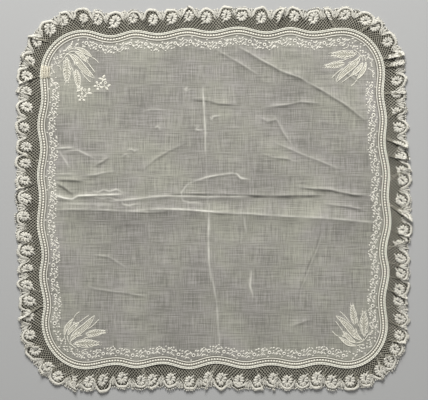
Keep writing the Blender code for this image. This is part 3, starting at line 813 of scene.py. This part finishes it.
SPRAY_LINE_WIDTH = 1.0
SPRAY_HEIGHT = 0.5
EAR_ROWS = 9
SEED_SPACING = 1.5
random_spray = np.random.default_rng(23)


def smooth_path(points, step=1.0):
    """A smooth open line through given points, with a point about every step."""
    points = np.asarray(points, float)
    padded = np.vstack([2 * points[0] - points[1], points, 2 * points[-1] - points[-2]])
    line = [points[0]]
    for number in range(1, len(padded) - 2):
        before, here, after, beyond = padded[number - 1 : number + 3]
        count = max(2, round(float(np.linalg.norm(after - here)) / step))
        for share in np.arange(1, count + 1) / count:
            bend = (2 * before - 5 * here + 4 * after - beyond) * share**2
            twist = (3 * here - before - 3 * after + beyond) * share**3
            line.append(0.5 * (2 * here + (after - before) * share + bend + twist))
    return np.array(line)


def tapered_line(points, width=SPRAY_LINE_WIDTH, height=SPRAY_HEIGHT):
    """A stalk, outline or awn: a padded line that thins out at both ends."""
    path = smooth_path(points, 1.6)
    shares = np.linspace(0, 1, len(path))
    return padded_strip(path, width * np.clip(np.minimum(shares, 1 - shares) * 6 + 0.35, 0, 1), height)


def ear_of_corn(ear):
    """An ear: its stalk, a scalloped outline on each side, and rows of padded grains."""
    start, tip = np.array(ear["start"]), np.array(ear["tip"])
    run = tip - start
    sideways = np.array((-run[1], run[0])) / np.linalg.norm(run)
    shares = np.linspace(0, 1, 17)
    bulge = np.sin(np.pi * shares**0.8) ** 0.8 * ear["width"] / 2
    parts = [tapered_line(ear["stalk"])]
    for hand in (-1, 1):
        scallop = 1 + 0.10 * np.abs(np.sin(shares * np.pi * EAR_ROWS / 2))
        edge = start + np.outer(shares, run) + np.outer(hand * bulge * scallop, sideways)
        parts.append(tapered_line(edge, 0.7, 0.4))
    for number in range(EAR_ROWS):
        share = (number + 0.5) / (EAR_ROWS + 0.3)
        half = float(np.interp(share, shares, bulge))
        for hand in (-1, 1):
            reach = random_spray.uniform(0.8, 1.2)
            foot = start + run * (share - 0.05) + sideways * hand * half * 0.08
            head = start + run * (share + random_spray.uniform(0.10, 0.17)) + sideways * hand * half * reach
            parts.append(leaf(foot, head, random_spray.uniform(1.0, 1.5), height=SPRAY_HEIGHT, bow=0.12 * hand))
            if number > EAR_ROWS - 4:
                parts.append(tapered_line((head, head + run * random_spray.uniform(0.08, 0.16)), 0.5, 0.3))
    return parts


def outlined_leaf(shape):
    """A long leaf: both edges and its veins in lines of stitches, and seeding between them."""
    left, right = smooth_path(shape["left_edge"], 1.5), smooth_path(shape["right_edge"], 1.5)
    parts = [tapered_line(shape["left_edge"], 1.25, 0.6), tapered_line(shape["right_edge"], 1.0)]
    parts += [tapered_line(vein, 0.6, 0.35) for vein in shape["veins"]]
    count = max(4, round(len(left) / SEED_SPACING))
    for share in np.linspace(0.12, 0.86, count):
        on_left = left[int(share * (len(left) - 1))]
        on_right = right[int(share * (len(right) - 1))]
        for across in (0.32, 0.68):
            middle = on_left + (on_right - on_left) * across + random_spray.normal(0, 0.3, 2)
            half = np.array((random_spray.uniform(0.6, 1.3), random_spray.uniform(-0.4, 0.5)))
            parts.append(leaf(middle - half, middle + half, random_spray.uniform(0.6, 1.0), height=0.4))
    return parts


def spray():
    """The whole spray on the flat, with its foot at the origin and pointing along x."""
    parts = []
    for ear in rows_of(EAR_COLUMNS, EARS):
        parts += ear_of_corn(ear)
    for shape in rows_of(OUTLINED_COLUMNS, OUTLINED_LEAVES):
        parts += outlined_leaf(shape)
    parts += [tapered_line(line, 0.95) for line in SPRAY_LINES]
    parts += [ring_of_stitches((forward, left), across, 1.0) for forward, left, across in SPRAY_RINGS]
    for forward, left, across in SPRAY_KNOTS:
        parts.append(padded_knot(np.array((forward, left)), np.array((1.0, 0.0)), across, across * 0.8, 0.45))
    return joined(parts)


def turned_to(part, foot, degrees):
    """A flat part moved to a foot and turned there."""
    points, faces, uvs = part
    angle = math.radians(degrees)
    turn = np.array(((math.cos(angle), math.sin(angle)), (-math.sin(angle), math.cos(angle))))
    placed = points.copy()
    placed[:, :2] = points[:, :2] @ turn + foot
    return placed, faces, uvs


def seeding():
    """The low fillings of the ears and leaves, in small stitches close together."""
    parts = []
    for ear in rows_of(EAR_COLUMNS, EARS):
        start, run = np.array(ear["start"]), np.array(ear["tip"]) - np.array(ear["start"])
        shares = np.linspace(0.03, 0.97, 12)
        widths = np.sin(np.pi * shares**0.8) ** 0.8 * ear["width"]
        parts.append(padded_strip(start + np.outer(shares, run), widths, SEEDING_HEIGHT))
    for shape in rows_of(OUTLINED_COLUMNS, OUTLINED_LEAVES):
        left, right = smooth_path(shape["left_edge"], 1.5), smooth_path(shape["right_edge"], 1.5)
        shares = np.linspace(0.04, 0.96, 12)
        left, right = left[np.round(shares * (len(left) - 1)).astype(int)], right[np.round(shares * (len(right) - 1)).astype(int)]
        parts.append(padded_strip((left + right) / 2, np.linalg.norm(left - right, axis=1), SEEDING_HEIGHT))
    return joined(parts)


spray_finish = thread_finish("spray cotton", SPRAY_COLOUR, ridge=0.4)
for name, flat_part, finish in (
    ("corner_sprays", spray(), spray_finish),
    ("spray_seeding", seeding(), thread_finish("seeding cotton", SEEDING_COLOUR, ridge=1.1, gaps=0.6)),
):
    lay_on_lawn(name, [turned_to(flat_part, row["foot"], row["turn"]) for row in SPRAY_CORNERS], finish)

# Two loose sprigs beside the top left spray, each a flower of five petals round an eyelet, a smaller ring and a
# forked stalk with small leaves, in the same satin stitch. They have no fellows in the other corners.
SPRIG_PLACES = ({"foot": (-115.0, 112.5), "turn": 15.0}, {"foot": (-131.5, 101.0), "turn": 60.0})
SPRIG_LINES = (((1.6, -0.8), (5.0, -2.6), (8.6, -3.4)), ((2.0, 1.4), (5.2, 3.0), (6.0, 6.6)), ((5.0, -2.6), (7.0, 0.4)))
SPRIG_LEAVES = (
    ((8.2, -3.4), (12.4, -1.4), 2.9),
    ((6.4, -3.0), (8.8, -7.2), 2.7),
    ((6.0, 6.0), (9.2, 9.2), 2.8),
    ((5.4, 3.8), (9.8, 4.6), 2.5),
    ((5.4, 5.2), (1.8, 7.6), 2.5),
)
SPRIG_PETALS = {"count": 5, "across": 3.3, "out": 3.4}
SPRIG_RINGS = ((0.0, 0.0, 3.6), (7.6, 1.2, 3.2))


def sprig():
    parts = [tapered_line(line, 1.1, 0.5) for line in SPRIG_LINES]
    parts += [leaf(stalk, tip, width, height=0.5) for stalk, tip, width in SPRIG_LEAVES]
    parts += [ring_of_stitches((forward, left), across, 1.1, 0.5) for forward, left, across in SPRIG_RINGS]
    for turn in np.arange(SPRIG_PETALS["count"]) * 2 * math.pi / SPRIG_PETALS["count"] + 0.5:
        ahead = np.array((math.cos(turn), math.sin(turn)))
        across = SPRIG_PETALS["across"]
        parts.append(padded_knot(ahead * SPRIG_PETALS["out"], ahead, across, across * 0.85, 0.5))
    return joined(parts)


flat_sprig = sprig()
lay_on_lawn("loose_sprigs", [turned_to(flat_sprig, row["foot"], row["turn"]) for row in SPRIG_PLACES], spray_finish)

# The mend: a small darned patch over the left hem near its top, in close rows of cream thread.
MEND_COLOUR = (0.86, 0.80, 0.64)
MEND_MIDDLE = (-168.0, 126.0)
MEND_SPAN = (8.0, 14.0)
MEND_ROWS = 6
MEND_LIFT = 0.75


def mend_rows():
    """Rows of darning side by side, each a little longer or shorter than its neighbour."""
    drift = np.random.default_rng(5)
    parts = []
    for row in np.linspace(-0.5, 0.5, MEND_ROWS):
        reach = MEND_SPAN[1] / 2 * drift.uniform(0.8, 1.05)
        x = MEND_MIDDLE[0] + row * MEND_SPAN[0]
        line = ((x - 0.4, MEND_MIDDLE[1] - reach), (x, MEND_MIDDLE[1]), (x + 0.5, MEND_MIDDLE[1] + reach))
        parts.append(tapered_line(line, 1.15, 0.75))
    return parts


mend_parts = mend_rows()
for points, _, _ in mend_parts:
    points[:, 2] += MEND_LIFT
lay_on_lawn("mend", mend_parts, thread_finish("mending thread", MEND_COLOUR))

# The lace edging: bobbin lace made as one straight strip and gathered to the hem, with its gathers lying in
# small flat pleats. This is its net ground, a fine open net that the surface below shows through, painted dark with the
# shade in its openings.
REPEATS = 84
LACE_INNER = 1.0
LACE_VALLEY = 20.2
LACE_CROWN = 22.9
ARCH_HALF_WIDTH = 7.0
DIP_RISE = 1.1
LACE_SCALE = {"top": 0.985, "right": 0.97, "bottom": 1.04, "left": 1.03}
LACE_LEVEL = 0.7
UNEVEN_WIDTH = 0.035
UNEVEN_WAVES = (78, 31, 187)
WAVE_LOST_OUTSIDE = 0.45
REFERENCE_OUT = 10.0
RUFFLE_LIFT = 0.8
PLEAT_RAMP = 2.0
PLEAT_LIFT_AT_HEM = 0.12
# The ground's dark is painted shade in the net's openings.
GROUND_SHADE_COLOUR = (0.026, 0.024, 0.018)
GROUND_ALPHA = 0.97
DOUBLED_COLOUR = (0.44, 0.415, 0.325)
DOUBLED_ABOVE = 0.7
NET_COLOUR = (0.52, 0.495, 0.405)
NET_PITCH = 2.9
NET_LEAN = 0.85
NET_THREADS = (0.62, 0.40)
NET_TURNS_EVERY = 145.0
NET_STEP = 1.5
NET_BASE = 0.22
GROUND_STEP = 0.8
GROUND_ROWS = 9
TOP_LEFT_START = ("top", -129.5)
# On a side, at is x or y; at a corner it is the degrees turned so far, clockwise. takes is how much strip the
# pleat uses up, rise how high it stands, and leans which way its flap lies: 1 is onwards, clockwise.
PLEAT_COLUMNS = ("stretch", "at", "takes", "rise", "leans", "slant")
PLEATS = (
    ("top", -121, 4, 1.8, 1, 0.3),
    ("top", -106, 3, 1.0, -1, -0.2),
    ("top", -33, 3, 2.4, 1, 0.7),
    ("top", 22, 3, 1.4, -1, -0.4),
    ("top", 65, 5, 2.6, 1, 0.5),
    ("top", 117, 7, 3.0, -1, -0.6),
    ("top right", 30, 9, 2.8, 1, 0.5),
    ("top right", 71.5, 9, 3.6, 1, 0.1),
    ("top right", 78, 9, 3.4, 1, 0.0),
    ("right", 105, 7, 2.4, 1, 0.0),
    ("right", 85, 5, 2.4, -1, -0.5),
    ("right", 56, 7, 3.4, 1, 0.5),
    ("right", 41, 7, 2.2, 1, 0.2),
    ("right", 23, 9, 3.0, -1, -0.4),
    ("right", -12, 9, 4.0, 1, 0.8),
    ("right", -34, 5, 2.2, 1, 0.3),
    ("right", -46, 5, 2.4, -1, -0.5),
    ("right", -66, 4, 1.8, 1, 0.4),
    ("right", -79, 4, 2.0, 1, 0.1),
    ("right", -94, 5, 3.2, 1, 0.6),
    ("right", -107, 3, 1.4, -1, -0.3),
    ("bottom right", 6, 3, 2.4, 1, 0.3),
    ("bottom right", 18, 5, 2.8, 1, -0.2),
    ("bottom right", 35, 7, 2.8, -1, -0.6),
    ("bottom right", 48, 7, 2.4, 1, 0.4),
    ("bottom right", 62, 5, 2.8, 1, 0.5),
    ("bottom right", 77, 5, 2.6, -1, -0.4),
    ("bottom", 110, 5, 2.4, 1, 0.4),
    ("bottom", 95, 5, 1.8, 1, -0.3),
    ("bottom", 82, 3, 1.0, -1, 0.2),
    ("bottom", 63, 5, 1.8, 1, 0.4),
    ("bottom", 46, 5, 1.6, -1, -0.4),
    ("bottom", -2, 7, 2.0, 1, 0.5),
    ("bottom", -68, 9, 2.2, -1, -0.3),
    ("bottom", -117, 5, 2.2, 1, 0.4),
    ("bottom left", 6, 4, 1.6, 1, 0.2),
    ("bottom left", 15, 5, 2.8, -1, -0.5),
    ("bottom left", 36, 7, 2.6, 1, 0.5),
    ("bottom left", 66, 4, 3.6, 1, 0.4),
    ("left", -111, 5, 3.6, -1, -0.7),
    ("left", -91, 3, 1.4, 1, 0.3),
    ("left", -71, 3, 1.4, -1, -0.2),
    ("left", -46, 5, 3.2, 1, 0.6),
    ("left", 12, 3, 1.8, -1, -0.4),
    ("left", 41, 3, 2.2, 1, 0.5),
    ("left", 103, 3, 1.2, 1, 0.2),
    ("left", 118, 4, 3.2, -1, -0.7),
    ("top left", 13, 4, 3.4, 1, 0.6),
    ("top left", 39, 3, 3.2, -1, -0.5),
    ("top left", 64, 4, 2.2, 1, 0.3),
)
CORNER_FACING = {"top right": 90.0, "bottom right": 0.0, "bottom left": -90.0, "top left": 180.0}


waviness =np.sum((hem_line - calm_line) * calm_out, axis=1)
waviness -= running_mean(waviness, round(window * 1.4))
facing_angles = np.arctan2(calm_out[:, 1], calm_out[:, 0])
side_scales = np.array([LACE_SCALE["right"], LACE_SCALE["top"], LACE_SCALE["left"], LACE_SCALE["bottom"]])
side_angles = np.array((0.0, 0.5, 1.0, 1.5)) * math.pi
lace_scales = np.interp(facing_angles, side_angles, side_scales, period=2 * math.pi)


def lace_outline(stations, outward):
    """(x, y) at places round the hem line and distances out from it, as the lace lies."""
    outward = np.asarray(outward) * loop_value(lace_scales, stations)
    calmed = WAVE_LOST_OUTSIDE * loop_value(waviness, stations) * outward / LACE_VALLEY
    return loop_value(hem_line, stations) + loop_value(calm_out, stations) * (outward - calmed)[..., None]


def corner_station(corner, degrees):
    """The place round the hem line where it has turned so far round a corner."""
    angle = math.radians(CORNER_FACING[corner] - degrees)
    return float(np.argmax(calm_out @ np.array((math.cos(angle), math.sin(angle))))) / HEM_SAMPLES


lace_start = hem_station(*TOP_LEFT_START)
lace_stations = lace_start + np.linspace(0, 1, 4 * HEM_SAMPLES + 1)
reference = lace_outline(lace_stations, np.full(len(lace_stations), REFERENCE_OUT))
lace_lengths = np.concatenate([[0.0], np.cumsum(np.linalg.norm(np.diff(reference, axis=0), axis=1))])

pleats = rows_of(PLEAT_COLUMNS, PLEATS)
strip_length = lace_lengths[-1] + sum(pleat["takes"] for pleat in pleats)
repeat_width = strip_length / REPEATS
strip = np.arange(0, strip_length, 0.2)
strip_taken = np.zeros_like(strip)
strip_lift = np.zeros_like(strip)
pleat_middles = []
used = 0.0
for pleat in pleats:
    place_of = corner_station if pleat["stretch"] in CORNER_FACING else hem_station
    station = (place_of(pleat["stretch"], pleat["at"]) - lace_start) % 1.0
    back = pleat["takes"] / 2
    middle = float(np.interp(station, lace_stations - lace_start, lace_lengths)) + used + back
    used += pleat["takes"]
    pleat_middles.append(middle)
    strip_taken += np.clip(2 * (strip - middle + back / 2), 0, pleat["takes"])
    ahead = (strip - middle) * pleat["leans"]
    climb = (ahead + back / 2 + back + PLEAT_RAMP) / (back + PLEAT_RAMP)
    fall = (back / 2 - ahead) / back
    strip_lift = np.maximum(strip_lift, pleat["rise"] * np.clip(np.minimum(climb, fall), 0, 1))
strip_lift = np.convolve(np.pad(strip_lift, 2, mode="edge"), np.full(5, 0.2), mode="valid")
pleat_slants = [pleat["slant"] for pleat in pleats]
strip_slant = np.interp(strip, pleat_middles, pleat_slants, period=strip_length)


def arch_edge(along):
    """How far out the lace's edge lies: an arch over each flower, and a valley between two."""
    from_flower = np.abs((along / repeat_width + 0.5) % 1.0 - 0.5) * repeat_width
    arch = LACE_CROWN - (LACE_CROWN - LACE_VALLEY) * (from_flower / ARCH_HALF_WIDTH) ** 2.2
    half_dip = repeat_width / 2 - ARCH_HALF_WIDTH
    across_dip = np.clip((repeat_width / 2 - from_flower) / half_dip, 0, 1)
    dip = LACE_VALLEY + DIP_RISE * np.sqrt(1 - across_dip**2)
    return np.where(from_flower < ARCH_HALF_WIDTH, arch, dip)


def across_pleats(along, outward):
    """The place along the strip where a pleat, which lies on the slant, crosses the middle of the lace."""
    return (along - np.interp(along, strip, strip_slant) * (outward - REFERENCE_OUT)) % strip_length


def lay_in_lace(points):
    """Flat lace points (along the strip, out from the hem, height) as they lie, gathered and pleated."""
    along, outward, height = points[:, 0] % strip_length, points[:, 1], points[:, 2]
    across = across_pleats(along, outward)
    travelled = along - np.interp(across, strip, strip_taken)
    turns = 2 * math.pi * along / strip_length
    slow, slower, quick = (np.sin(turns * waves + waves) for waves in UNEVEN_WAVES)
    stations = np.interp(travelled, lace_lengths, lace_stations)
    flat = lace_outline(stations, outward * (1 + UNEVEN_WIDTH * (slow * slower + 0.5 * quick)))
    share = np.clip(outward / LACE_CROWN, 0, 1)
    ruffle = RUFFLE_LIFT * (1 + np.cos(2 * math.pi * along / repeat_width)) / 2 * share
    lift = np.interp(across, strip, strip_lift) * (PLEAT_LIFT_AT_HEM + (1 - PLEAT_LIFT_AT_HEM) * share)
    return np.column_stack([flat, LACE_LEVEL + np.maximum(ruffle, lift) + height])


def ground_finish():
    """The net seen from far off: painted dark with the shade in its openings, over the surface below, and pale where a
    pleat doubles it.
    """
    finish, shader, add, link = new_finish("net ground")
    coordinates = add("ShaderNodeTexCoord").outputs["Object"]
    noise = add("ShaderNodeTexNoise", Vector=coordinates, Scale=420.0, Detail=2.0)
    mixed = add("ShaderNodeMix", {"data_type": "RGBA"}, Factor=noise.outputs["Fac"])
    mixed.inputs[6].default_value = (*[part * 0.7 for part in GROUND_SHADE_COLOUR], 1.0)
    mixed.inputs[7].default_value = (*[part * 1.4 for part in GROUND_SHADE_COLOUR], 1.0)
    doubled = add("ShaderNodeAttribute", {"attribute_name": "doubled"}).outputs["Fac"]
    layered = add("ShaderNodeMix", {"data_type": "RGBA"}, Factor=doubled)
    link(mixed.outputs[2], layered.inputs[6])
    layered.inputs[7].default_value = (*DOUBLED_COLOUR, 1.0)
    link(layered.outputs[2], shader.inputs["Base Color"])
    shader.inputs["Roughness"].default_value = 0.95
    shader.inputs["Specular IOR Level"].default_value = 0.1
    shader.inputs["Alpha"].default_value = GROUND_ALPHA
    return finish


def make_ground():
    """The ground as one closed strip of open net cloth."""
    columns = round(strip_length / GROUND_STEP)
    along = np.arange(columns) * strip_length / columns
    rows = np.linspace(0, 1, GROUND_ROWS)
    outward = LACE_INNER + np.multiply.outer(arch_edge(along) - 0.8 - LACE_INNER, rows)
    flat = np.stack([np.broadcast_to(along[:, None], outward.shape), outward, np.zeros_like(outward)], 2)
    faces = []
    for column in range(columns):
        here, following = column * GROUND_ROWS, (column + 1) % columns * GROUND_ROWS
        for row in range(GROUND_ROWS - 1):
            faces.append((here + row + 1, following + row + 1, following + row, here + row))
    flat = flat.reshape(-1, 3)
    lifts = np.interp(across_pleats(flat[:, 0], flat[:, 1]), strip, strip_lift)
    lifts *= np.clip((flat[:, 1] - 2) / 9, 0, 1)
    marks = {"doubled": np.clip((lifts - DOUBLED_ABOVE) / 2, 0, 0.75)}
    return make_piece("lace_ground", lay_in_lace(flat), faces, ground_finish(), marks)


lace = make_ground()
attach(lace, "root")
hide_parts("lace_edging")

# The net's own threads: pairs of threads twisted together, which cross on the slant in both directions and end
# at the flowers' arches.
FLAT_SECTION = np.array(((-1.0, 0.15), (0.0, 1.0), (1.0, 0.15)))
NET_HEIGHT = 0.22


def sew_in_lace(name, parts, material):
    """Makes one piece of flat parts, laid in the gathered lace, and lets it go with the lace's ground."""
    points, faces, uvs = joined(parts)
    made = make_piece(name, lay_in_lace(points), faces, material, {"thread": uvs})
    made.parent = lace
    return made


def net_threads():
    count = round(strip_length / NET_PITCH)
    steps = np.arange(LACE_INNER - 0.3, LACE_CROWN, NET_STEP)
    parts = []
    for number in range(count):
        heavy_first = math.sin(2 * math.pi * number * NET_PITCH / NET_TURNS_EVERY) > 0
        for lean, thick in zip((-NET_LEAN, NET_LEAN), NET_THREADS if heavy_first else reversed(NET_THREADS)):
            along = number * strip_length / count + lean * steps
            inside = steps < arch_edge(along) - 0.6
            if inside.sum() > 2:
                path = np.column_stack([along[inside], steps[inside]])
                strand = padded_strip(path, thick, NET_HEIGHT, section=FLAT_SECTION)
                strand[0][:, 2] += NET_BASE
                parts.append(strand)
    return parts


sew_in_lace("lace_net", net_threads(), thread_finish("net thread", NET_COLOUR, ridge=0.5, shade=0.25))

# The lace's flowers: one in each repeat, of ten petals in close clothwork round a slanting slit, with a short
# stalk that trails back along the strip. The bobbins work them together with the net.
LACE_COLOUR = (0.83, 0.80, 0.70)
FLOWER_OUT = 13.7
FLOWER_HEIGHT = 0.8
PETAL_COLUMNS = ("from_along", "from_out", "to_along", "to_out", "width")
PETALS = (
    (0.9, 1.8, 0.5, 5.7, 2.6),
    (1.4, 0.9, 3.4, 4.5, 2.7),
    (1.0, 0.3, 5.1, 1.8, 2.7),
    (0.5, -0.5, 5.0, -1.5, 2.6),
    (0.0, -1.3, 3.5, -4.2, 2.8),
    (-0.7, -2.5, 0.9, -5.5, 2.6),
    (-1.5, -2.0, -2.3, -4.8, 2.5),
    (-0.9, -0.5, -4.9, -2.0, 2.7),
    (-0.3, 0.5, -4.6, 1.3, 2.6),
    (0.2, 1.3, -2.4, 4.5, 2.8),
)
PETAL_SHARES = np.array((0.0, 0.2, 0.55, 0.85, 1.0))
PETAL_FULLNESS = np.array((0.55, 0.8, 1.0, 0.95, 0.55))
STALK = ((-1.0, -3.0), (-2.8, -4.6), (-5.1, -6.0))
MOTIF_BASE = 0.3
REPEAT_VARIES = 0.04


def petal(row):
    start = np.array((row["from_along"], row["from_out"]))
    run = np.array((row["to_along"], row["to_out"])) - start
    path = start + np.outer(PETAL_SHARES, run)
    return padded_strip(path, row["width"] * PETAL_FULLNESS, FLOWER_HEIGHT)


def flower():
    """One flower on the flat, about its own middle."""
    stalk_path = smooth_path(STALK, 1.2)
    stalk_widths = np.interp(np.linspace(0, 1, len(stalk_path)), (0, 0.8, 1), (1.4, 1.2, 0.6))
    stalk = padded_strip(stalk_path, stalk_widths, FLOWER_HEIGHT * 0.9)
    return joined([*(petal(row) for row in rows_of(PETAL_COLUMNS, PETALS)), stalk])


def repeated(part, out, random_place, drift=0.35, sway=0.10):
    """A flat part set into every repeat of the lace, each a little moved, turned and stretched."""
    points, faces, uvs = part
    copies = []
    for number in range(REPEATS):
        angle = random_place.normal(0, sway)
        size = random_place.normal(1, REPEAT_VARIES)
        turn = np.array(((math.cos(angle), math.sin(angle)), (-math.sin(angle), math.cos(angle)))) * size
        placed = points.copy()
        placed[:, :2] = points[:, :2] @ turn
        placed[:, 0] += number * repeat_width + random_place.normal(0, drift)
        placed[:, 1] += out + random_place.normal(0, drift)
        placed[:, 2] += MOTIF_BASE
        copies.append((placed, faces, uvs))
    return copies


lace_finish = thread_finish("lace thread", LACE_COLOUR, ridge=0.45, gaps=0.75)
flowers = repeated(flower(), FLOWER_OUT, np.random.default_rng(3), drift=0.5, sway=0.16)
sew_in_lace("lace_flowers", flowers, lace_finish)

# The lace's headside: a broad band of clothwork that arches over each flower, three-lobed leaves in the dips
# between the arches, each pair held by a fine outlining thread, and small picots along the outer edge.
ARCH_BAND = {"width": 2.8, "height": 0.75}
ARCH_PATH = ((-6.5, 16.4), (-5.9, 18.8), (-4.2, 20.6), (-1.6, 21.5), (1.6, 21.6), (4.2, 20.7), (5.9, 18.8), (6.5, 16.4))
ARCH_SIDES = (((-6.4, 17.0), (-7.2, 14.6), (-9.5, 11.8)), ((6.4, 17.0), (7.2, 14.6), (9.5, 11.8)))
DIP_LEAF_COLUMNS = ("stalk", "tip", "width", "bow")
DIP_LEAVES = (
    ((-0.5, 13.8), (-2.7, 20.6), 3.3, 0.08),
    ((0.5, 13.8), (2.7, 20.6), 3.3, -0.08),
    ((0.0, 15.8), (0.0, 21.9), 2.4, 0.0),
)
DIP_EYE = (0.0, 13.9, 2.4)
PICOT_SPACING = 1.9
PICOT_ACROSS = 1.5


def arch_band():
    path = smooth_path(ARCH_PATH, 1.3)
    shares = np.linspace(0, 1, len(path))
    widths = ARCH_BAND["width"] * (0.45 + 0.55 * np.sin(np.pi * shares) ** 0.6)
    sides = [tapered_line(side, 1.0, 0.7) for side in ARCH_SIDES]
    return joined([padded_strip(path, widths, ARCH_BAND["height"]), *sides])


def dip_leaves():
    """The three leaves of a dip and its eyelet, about the line half-way between two flowers."""
    parts = []
    for row in rows_of(DIP_LEAF_COLUMNS, DIP_LEAVES):
        parts.append(leaf(row["stalk"], row["tip"], row["width"], height=0.6, bow=row["bow"]))
    parts.append(ring_of_stitches(DIP_EYE[:2], DIP_EYE[2], 0.8, height=0.6))
    points, faces, uvs = joined(parts)
    points[:, 0] += repeat_width / 2
    return points, faces, uvs


def picots():
    """Small knots of thread along the outer edge of every arch and dip."""
    drift = np.random.default_rng(9)
    parts = []
    for along in np.arange(0, strip_length, PICOT_SPACING):
        along += drift.uniform(-0.4, 0.4)
        out = float(arch_edge(np.array(along))) + drift.uniform(-0.1, 0.35)
        across = PICOT_ACROSS * drift.uniform(0.8, 1.2)
        middle = np.array((along, out))
        knot = padded_knot(middle, np.array((1.0, 0.0)), across * 1.2, across, 0.5, around=6)
        knot[0][:, 2] += MOTIF_BASE
        parts.append(knot)
    return parts


random_headside = np.random.default_rng(21)
arch_finish = thread_finish("lace arch thread", LACE_COLOUR, ridge=0.45, gaps=0.45)
sew_in_lace("lace_arches", repeated(arch_band(), 0.0, random_headside, drift=0.3, sway=0.012), arch_finish)
leaf_finish = thread_finish("lace leaf thread", tuple(part * 0.84 for part in LACE_COLOUR), ridge=0.45, gaps=0.7)
sew_in_lace("lace_leaves", repeated(dip_leaves(), 0.0, random_headside, drift=0.2, sway=0.0), leaf_finish)
sew_in_lace("lace_picots", picots(), lace_finish)
